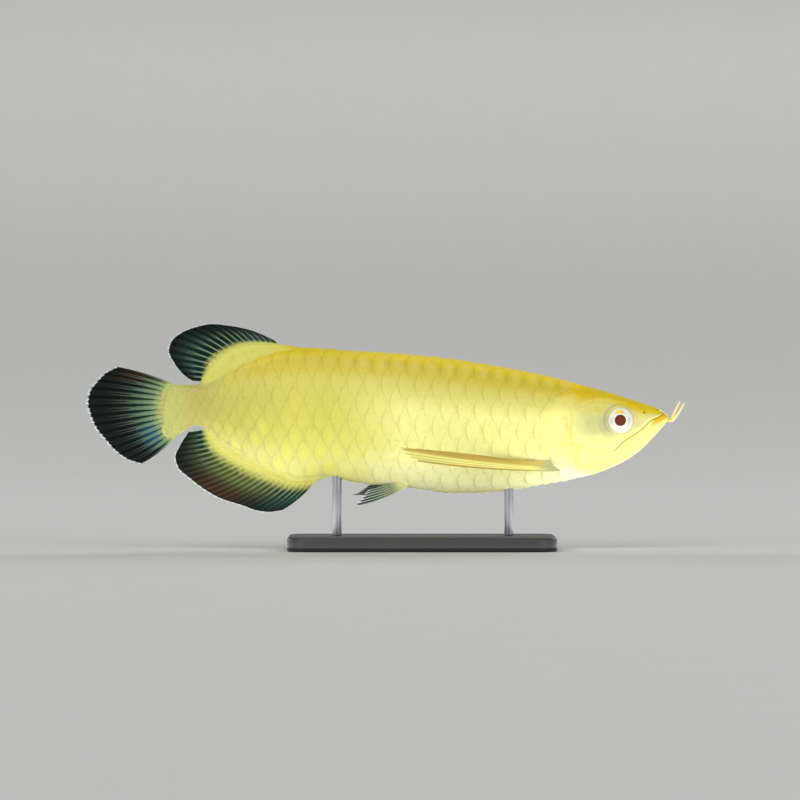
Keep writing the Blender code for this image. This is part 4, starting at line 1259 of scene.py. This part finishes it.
class Tree:
    """A material's node tree, with short calls for the nodes used here."""

    def __init__(self, name):
        self.material = bpy.data.materials.new(name)
        self.material.use_nodes = True
        self.nodes = self.material.node_tree.nodes
        self.links = self.material.node_tree.links
        self.shader = self.nodes["Principled BSDF"]

    def set(self, node, key, value):
        if isinstance(value, bpy.types.NodeSocket):
            self.links.new(value, node.inputs[key])
        else:
            node.inputs[key].default_value = value

    def attribute(self, name, output="Fac"):
        node = self.nodes.new("ShaderNodeAttribute")
        node.attribute_name = name
        return node.outputs[output]

    def place(self, scale=(1, 1, 1)):
        """Object coordinates in millimetres."""
        where = self.nodes.new("ShaderNodeTexCoord").outputs["Object"]
        node = self.nodes.new("ShaderNodeVectorMath")
        node.operation = "MULTIPLY"
        self.links.new(where, node.inputs[0])
        node.inputs[1].default_value = [1000 * k for k in scale]
        return node.outputs[0]

    def noise(self, where, scale, detail, rough):
        node = self.nodes.new("ShaderNodeTexNoise")
        self.links.new(where, node.inputs["Vector"])
        node.inputs["Scale"].default_value = scale
        node.inputs["Detail"].default_value = detail
        node.inputs["Roughness"].default_value = rough
        return node.outputs["Fac"]

    def cells(self, where, scale):
        node = self.nodes.new("ShaderNodeTexVoronoi")
        self.links.new(where, node.inputs["Vector"])
        node.inputs["Scale"].default_value = scale
        return node.outputs["Distance"]

    def math(self, operation, *values):
        node = self.nodes.new("ShaderNodeMath")
        node.operation = operation
        for k, value in enumerate(values):
            self.set(node, k, value)
        return node.outputs[0]

    def times(self, a, b):
        return self.math("MULTIPLY", a, b)

    def apart(self, a, b):
        """How far apart two values are."""
        return self.math("ABSOLUTE", self.math("SUBTRACT", a, b))

    def ramp(self, value, low, high, to_low=0.0, to_high=1.0):
        """A value brought smoothly from the range low to high to the range to_low to to_high."""
        node = self.nodes.new("ShaderNodeMapRange")
        node.interpolation_type = "SMOOTHSTEP"
        for key, number in enumerate((value, low, high, to_low, to_high)):
            self.set(node, key, number)
        return node.outputs[0]

    def mix(self, share, under, over, blend="MIX"):
        """One colour laid over another by a share. Sockets 6 and 7 are the colours, 2 is the result."""
        node = self.nodes.new("ShaderNodeMix")
        node.data_type = "RGBA"
        node.blend_type = blend
        self.set(node, 0, share)
        for key, colour in ((6, under), (7, over)):
            self.set(node, key, colour if isinstance(colour, bpy.types.NodeSocket) else (*colour[:3], 1))
        return node.outputs[2]

    def bump(self, height, distance, strength=1.0, normal=None):
        node = self.nodes.new("ShaderNodeBump")
        node.inputs["Strength"].default_value = strength
        node.inputs["Distance"].default_value = distance * MM
        self.links.new(height, node.inputs["Height"])
        if normal is not None:
            self.links.new(normal, node.inputs["Normal"])
        return node.outputs[0]

    def finish(self, **values):
        for key, value in values.items():
            self.set(self.shader, key.replace("_", " "), value)
        return self.material


def wet(tree, weight, rough, gloss):
    """A thin clear coat, as on a wet fish, over a finish with the given gloss."""
    tree.shader.inputs["Specular IOR Level"].default_value = gloss
    tree.shader.inputs["Coat Weight"].default_value = weight
    tree.shader.inputs["Coat Roughness"].default_value = rough


def under_skin(tree, weight):
    """Light that goes a little way into the skin and comes out warmer."""
    tree.shader.inputs["Subsurface Weight"].default_value = weight
    tree.shader.inputs["Subsurface Radius"].default_value = (1.0, 0.75, 0.3)
    tree.shader.inputs["Subsurface Scale"].default_value = 2.0 * MM


def skin_material():
    tree = Tree("skin")
    where = tree.place()
    paint = tree.attribute("paint", "Color")
    mottle = tree.noise(where, 0.16, 4, 0.6)
    fine = tree.noise(where, 1.3, 3, 0.6)
    colour = tree.mix(tree.ramp(mottle, 0.45, 0.75, 0, 0.3), paint, rgb(0.86, 0.78, 0.36), "MULTIPLY")
    colour = tree.mix(tree.ramp(fine, 0.5, 0.8, 0, 0.16), colour, rgb(0.97, 0.96, 0.82))
    wrinkle = tree.noise(tree.place((1, 1, 2.2)), 0.9, 5, 0.62)
    pores = tree.cells(where, 1.1)
    normal = tree.bump(wrinkle, 0.16, 0.5)
    normal = tree.bump(pores, 0.05, 0.35, normal)
    wet(tree, 0.08, 0.18, 0.18)
    under_skin(tree, 0.12)
    return tree.finish(Base_Color=colour, Roughness=tree.ramp(fine, 0.3, 0.7, 0.3, 0.42), Normal=normal)


def scale_material():
    tree = Tree("scales")
    where = tree.place()
    paint = tree.attribute("paint", "Color")
    level, tone, across, rim = (tree.attribute(key) for key in ("level", "tone", "across", "rim"))
    fine = tree.noise(where, 1.2, 4, 0.6)
    colour = tree.mix(tree.ramp(level, 0.3, 0.0, 0, 0.16), paint, rgb(0.80, 0.66, 0.26), "MULTIPLY")
    colour = tree.mix(tree.ramp(rim, 0.93, 0.985, 0, 0.24), colour, rgb(0.66, 0.58, 0.20))
    colour = tree.mix(tree.times(tone, 0.10), colour, rgb(0.84, 0.74, 0.34))
    mottle = tree.noise(where, 0.22, 4, 0.65)
    colour = tree.mix(tree.ramp(mottle, 0.48, 0.75, 0, 0.25), colour, rgb(0.84, 0.78, 0.42), "MULTIPLY")
    colour = tree.mix(tree.ramp(fine, 0.52, 0.8, 0, 0.14), colour, rgb(1.0, 0.99, 0.85))
    bend = tree.times(tree.math("POWER", tree.math("ABSOLUTE", across), 2.0), 0.5)
    growth_rings = tree.math("SINE", tree.times(tree.math("ADD", level, bend), 90.0))
    normal = tree.bump(growth_rings, 0.02, 0.5)
    normal = tree.bump(tree.noise(where, 2.2, 4, 0.6), 0.05, 0.3, normal)
    wet(tree, 0.07, 0.2, 0.16)
    under_skin(tree, 0.1)
    return tree.finish(Base_Color=colour, Roughness=tree.ramp(fine, 0.3, 0.7, 0.32, 0.46), Normal=normal)


WEB_NEAR = rgb(0.07, 0.14, 0.10)
WEB_FAR = rgb(0.01, 0.025, 0.02)
RAY_NEAR = rgb(0.42, 0.52, 0.38)
RAY_FAR = rgb(0.03, 0.055, 0.045)
RAY_LINE = rgb(0.48, 0.56, 0.47)
RAY_TIP = rgb(0.88, 0.92, 0.90)
FIN_BLUE = rgb(0.05, 0.28, 0.34)
FIN_TEAL = rgb(0.07, 0.21, 0.19)
FIN_BROWN = rgb(0.20, 0.11, 0.03)
FIN_OLIVE = rgb(0.31, 0.33, 0.10)
FIN_GREEN = rgb(0.07, 0.18, 0.09)
FIN_GREY = rgb(0.17, 0.25, 0.23)


def fin_material(name, flesh, reach, bundle, fade, tints):
    """Dark fin skin between pale rays.

    The body's colour, flesh, runs out to the share reach of a ray. bundle is how much of the fin's width
    the pale rays take near the root, and fade the two shares of a ray between which they darken. Each
    tint has a colour, its place across the fin and width, its place along the rays and width, and a share.
    """
    tree = Tree(name)
    ray, gap, along, place = (tree.attribute(key) for key in ("ray", "gap", "along", "place"))
    grain = tree.noise(tree.place(), 0.35, 4, 0.65)
    loose = tree.math("ADD", along, tree.times(tree.math("SUBTRACT", grain, 0.5), 0.22))
    web = tree.mix(tree.ramp(loose, 0.05, 0.5), WEB_NEAR, WEB_FAR)
    rays = tree.mix(tree.ramp(loose, *fade), RAY_NEAR, RAY_FAR)
    for colour, across, wide, out, deep, share in tints:
        near = tree.ramp(tree.apart(place, across), wide, 0.0, 0, share)
        near = tree.times(near, tree.ramp(tree.apart(loose, out), deep, 0.0))
        web = tree.mix(near, web, colour)
        rays = tree.mix(tree.times(near, 0.7), rays, [min(1, 1.5 * k + 0.02) for k in colour])
    edge = tree.ramp(along, 0.1, 0.8, bundle, 0.2)
    colour = tree.mix(tree.ramp(tree.math("SUBTRACT", gap, edge), 0.05, -0.07), web, rays)
    line = tree.times(tree.ramp(ray, 0.35, 0.95), tree.ramp(along, 0.8, 0.25, 0.03, 0.45))
    tips = tree.times(tree.ramp(along, 0.968, 0.984), tree.ramp(ray, 0.4, 0.75))
    colour = tree.mix(line, colour, RAY_LINE)
    colour = tree.mix(tree.times(tree.attribute("joint"), 0.3), colour, WEB_FAR)
    colour = tree.mix(tree.ramp(loose, reach, -0.02), colour, flesh)
    colour = tree.mix(tips, colour, RAY_TIP)
    wet(tree, 0.02, 0.2, 0.08)
    return tree.finish(Base_Color=colour, Roughness=0.42, Normal=tree.bump(grain, 0.05, 0.4))


DORSAL_TINTS = ((FIN_GREY, 0.05, 0.45, 0.4, 0.8, 0.75), (FIN_TEAL, 0.75, 0.45, 0.55, 0.5, 0.5))
ANAL_TINTS = (
    (FIN_OLIVE, 0.5, 0.5, 0.3, 0.6, 0.95),
    (FIN_BROWN, 0.5, 0.34, 0.85, 0.42, 0.9),
    (FIN_TEAL, 0.06, 0.28, 0.55, 0.55, 0.8),
    (FIN_GREEN, 0.95, 0.25, 0.45, 0.6, 0.8),
)
CAUDAL_TINTS = (
    (FIN_BLUE, 0.78, 0.24, 0.32, 0.3, 0.85),
    (FIN_TEAL, 0.45, 0.5, 0.4, 0.3, 0.35),
    (FIN_BROWN, 0.06, 0.14, 0.5, 0.5, 0.6),
)


def pectoral_material():
    tree = Tree("pectoral")
    where = tree.place()
    ray, along, place = (tree.attribute(key) for key in ("ray", "along", "place"))
    dark = tree.math("MAXIMUM", tree.ramp(place, 0.21, 0.3), tree.ramp(place, 0.06, 0.02))
    gold = tree.mix(tree.ramp(along, 0.1, 0.7), rgb(0.84, 0.77, 0.38), rgb(0.76, 0.65, 0.28))
    colour = tree.mix(dark, rgb(0.95, 0.92, 0.54), gold)
    line = tree.times(tree.ramp(ray, 0.3, 0.8), tree.ramp(along, 0.08, 0.3, 0.0, 0.45))
    colour = tree.mix(line, colour, rgb(0.60, 0.48, 0.20))
    colour = tree.mix(tree.ramp(along, 0.2, 0.08), colour, rgb(0.76, 0.74, 0.46))
    # painted shade at the root, where the fin comes out from under the gill cover
    colour = tree.mix(tree.ramp(along, 0.12, 0.03), colour, rgb(0.70, 0.71, 0.52))
    grain = tree.noise(where, 0.6, 4, 0.6)
    colour = tree.mix(tree.ramp(grain, 0.5, 0.8, 0, 0.2), colour, rgb(0.94, 0.90, 0.60))
    wet(tree, 0.15, 0.15, 0.3)
    return tree.finish(Base_Color=colour, Roughness=0.36, Normal=tree.bump(grain, 0.05, 0.4))


def pelvic_material():
    tree = Tree("pelvic")
    where = tree.place()
    ray, along = tree.attribute("ray"), tree.attribute("along")
    web = tree.mix(tree.ramp(along, 0.15, 0.8), rgb(0.46, 0.52, 0.34), rgb(0.12, 0.19, 0.17))
    colour = tree.mix(tree.ramp(ray, 0.3, 0.9), web, rgb(0.58, 0.64, 0.54))
    grain = tree.noise(where, 0.6, 4, 0.6)
    colour = tree.mix(tree.ramp(along, 0.34, 0.02), colour, rgb(0.80, 0.80, 0.52))
    tips = tree.times(tree.ramp(along, 0.9, 0.97), tree.ramp(ray, 0.4, 0.8))
    colour = tree.mix(tips, colour, RAY_TIP)
    wet(tree, 0.15, 0.15, 0.3)
    return tree.finish(Base_Color=colour, Roughness=0.36, Normal=tree.bump(grain, 0.05, 0.4))


def eye_material():
    tree = Tree("eye")
    where = tree.place()
    radius, up = tree.attribute("radius"), tree.attribute("up")
    fibre = tree.noise(where, 1.6, 4, 0.6)
    iris = tree.mix(tree.ramp(fibre, 0.35, 0.75, 0, 0.4), rgb(0.84, 0.84, 0.77), rgb(0.74, 0.74, 0.67))
    # painted shade on the iris, on its front and rear sides halfway out from the pupil
    ring = tree.ramp(tree.apart(radius, 7.4), 1.9, 0.4)
    shade = tree.times(ring, tree.ramp(tree.math("ABSOLUTE", up), 0.75, 0.1, 0, 0.55))
    iris = tree.mix(shade, iris, rgb(0.62, 0.63, 0.64))
    iris = tree.mix(tree.attribute("patch"), iris, rgb(0.90, 0.68, 0.02))
    iris = tree.mix(tree.ramp(radius, 6.1, 5.2, 0, 0.9), iris, rgb(0.92, 0.91, 0.86))
    colour = tree.mix(tree.ramp(radius, *IRIS_EDGE), iris, rgb(0.74, 0.72, 0.58))
    pupil = tree.mix(tree.ramp(radius, 0.0, 4.6), rgb(0.42, 0.15, 0.12), rgb(0.33, 0.17, 0.06))
    colour = tree.mix(tree.ramp(radius, *PUPIL_EDGE), colour, pupil)
    wet(tree, 0.3, 0.05, 0.2)
    return tree.finish(Base_Color=colour, Roughness=0.3)


def barbel_material():
    tree = Tree("barbel")
    grain = tree.noise(tree.place(), 1.2, 3, 0.5)
    colour = tree.mix(tree.ramp(grain, 0.4, 0.7), rgb(0.93, 0.88, 0.58), rgb(0.88, 0.80, 0.44))
    root = tree.ramp(tree.attribute("along"), 0.35, 0.0)
    colour = tree.mix(root, colour, rgb(0.88, 0.68, 0.18))
    wet(tree, 0.15, 0.15, 0.3)
    return tree.finish(Base_Color=colour, Roughness=0.34, Normal=tree.bump(grain, 0.05, 0.3))


def base_material():
    tree = Tree("base")
    where = tree.place()
    grain = tree.noise(where, 1.8, 5, 0.7)
    cloud = tree.noise(where, 0.05, 3, 0.5)
    colour = tree.mix(cloud, rgb(0.085, 0.085, 0.09), rgb(0.12, 0.12, 0.125))
    normal = tree.bump(grain, 0.03, 0.5)
    return tree.finish(Base_Color=colour, Roughness=tree.ramp(grain, 0.3, 0.7, 0.4, 0.52), Normal=normal)


def rod_material():
    tree = Tree("rod")
    lines = tree.noise(tree.place((1, 1, 0.02)), 3.0, 3, 0.6)
    colour = tree.mix(lines, rgb(0.55, 0.55, 0.57), rgb(0.70, 0.70, 0.72))
    tree.shader.inputs["Metallic"].default_value = 1.0
    rough = tree.ramp(lines, 0.3, 0.7, 0.24, 0.38)
    return tree.finish(Base_Color=colour, Roughness=rough, Normal=tree.bump(lines, 0.01, 0.4))


def stage_material(colour):
    tree = Tree("stage")
    grain = tree.noise(tree.place(), 0.02, 3, 0.5)
    shade = tree.mix(grain, colour, [k * 0.96 for k in colour])
    return tree.finish(Base_Color=shade, Roughness=0.75)


# Stage, light and camera


def make_stage():
    """A wide floor that turns up into a wall all round, out of reach of every camera."""
    turn = np.linspace(0, math.pi / 2, 24)[1:]
    wall = FLOOR_RADIUS + (WALL_RADIUS - FLOOR_RADIUS) * np.sin(turn)
    flat = np.linspace(0.001, FLOOR_RADIUS, 12)
    radius = np.concatenate((flat, wall, [WALL_RADIUS]))[:, None]
    rise = WALL_HEIGHT * 0.9 * (1 - np.cos(turn))
    height = np.concatenate((0 * flat, rise, [WALL_HEIGHT]))[:, None]
    angle = np.linspace(0, math.tau, 97)[None, :-1]
    points = np.stack((radius * np.cos(angle), radius * np.sin(angle), height + 0 * angle), axis=-1)
    floor = make_mesh("floor", points.reshape(-1, 3), ring_faces(*points.shape[:2])[:, ::-1])
    floor.data.materials.append(stage_material(rgb(*FLOOR_COLOUR)))


def soft_light(name, turn, rise, strength, spread):
    """A broad even light from far away. turn is 0 on the camera's side and positive towards the head."""
    data = bpy.data.lights.new(name, "SUN")
    data.energy = strength
    data.angle = math.radians(spread)
    turn, rise = math.radians(turn), math.radians(rise)
    way = Vector((math.sin(turn) * math.cos(rise), -math.cos(turn) * math.cos(rise), math.sin(rise)))
    light = new_object(name, data)
    light.rotation_euler = way.to_track_quat("Z", "Y").to_euler()
    light.location = way * 3


def floor_light(name):
    """A panel flat on the floor that lights the belly and leaves the floor as it is."""
    data = bpy.data.lights.new(name, "AREA")
    data.shape = "RECTANGLE"
    data.size, data.size_y = PANEL_SIZE
    data.energy = PANEL_POWER
    light = new_object(name, data)
    light.location = (0, 0, PANEL_LEVEL)
    light.rotation_euler = (math.pi, 0, 0)
    light.visible_camera = False


def make_lights():
    for light in LIGHTS:
        soft_light(*light)
    floor_light("belly")
    world = bpy.data.worlds.new("world")
    world.use_nodes = True
    background = world.node_tree.nodes["Background"]
    background.inputs[0].default_value = WORLD_COLOUR
    background.inputs[1].default_value = WORLD_STRENGTH
    bpy.context.scene.world = world


def make_camera():
    data = bpy.data.cameras.new("camera")
    data.sensor_width = SENSOR
    data.lens = SENSOR * CAMERA_DISTANCE / (VIEW_WIDTH * MM)
    data.clip_end = 100
    camera = new_object("camera", data)
    camera.location = (VIEW_CENTRE[0] * MM, -CAMERA_DISTANCE, VIEW_CENTRE[1] * MM)
    camera.rotation_euler = (math.pi / 2, 0, 0)
    bpy.context.scene.camera = camera


def main():
    make_camera()
    make_skin(skin_material())
    scales = scale_material()
    make_scales(scales)
    make_keel_scutes(scales)
    eye = eye_material()
    make_eye("eye_right", -1, eye)
    make_eye("eye_left", 1, eye)
    dorsal = fin_material("dorsal_skin", FIN_FLESH, 0.2, 0.13, (0.2, 0.7), DORSAL_TINTS)
    make_median("dorsal_fin", outline_top, DORSAL_SPAN, DORSAL_TIPS, DORSAL_BOW, DORSAL_RAYS, dorsal)
    anal = fin_material("anal_skin", FIN_FLESH, 0.3, 0.22, (0.2, 0.6), ANAL_TINTS)
    make_median("anal_fin", outline_low, ANAL_SPAN, ANAL_TIPS, ANAL_BOW, ANAL_RAYS, anal)
    make_caudal(fin_material("caudal_skin", CAUDAL_FLESH, 0.22, 0.4, (0.18, 0.55), CAUDAL_TINTS))
    pectoral, pelvic = pectoral_material(), pelvic_material()
    for side, name, tips in ((-1, "right", PELVIC_RIGHT_TIPS), (1, "left", PELVIC_LEFT_TIPS)):
        form = (PECTORAL_ROOT, PECTORAL_TIPS, side, PECTORAL_BOW)
        make_paired(f"pectoral_fin_{name}", *form, "gold_fin", 13, 90, pectoral)
        make_paired(f"pelvic_fin_{name}", PELVIC_ROOT, tips, side, PELVIC_BOW, "fin", 6, 50, pelvic)
    barbel = barbel_material()
    for name in BARBELS:
        make_barbel(name, barbel)
    make_base(base_material())
    steel = rod_material()
    for node in ("stand_rod_front", "stand_rod_rear"):
        make_rod(node, steel)
    make_stage()
    make_lights()
    bpy.context.scene.view_settings.view_transform = "Standard"


main()
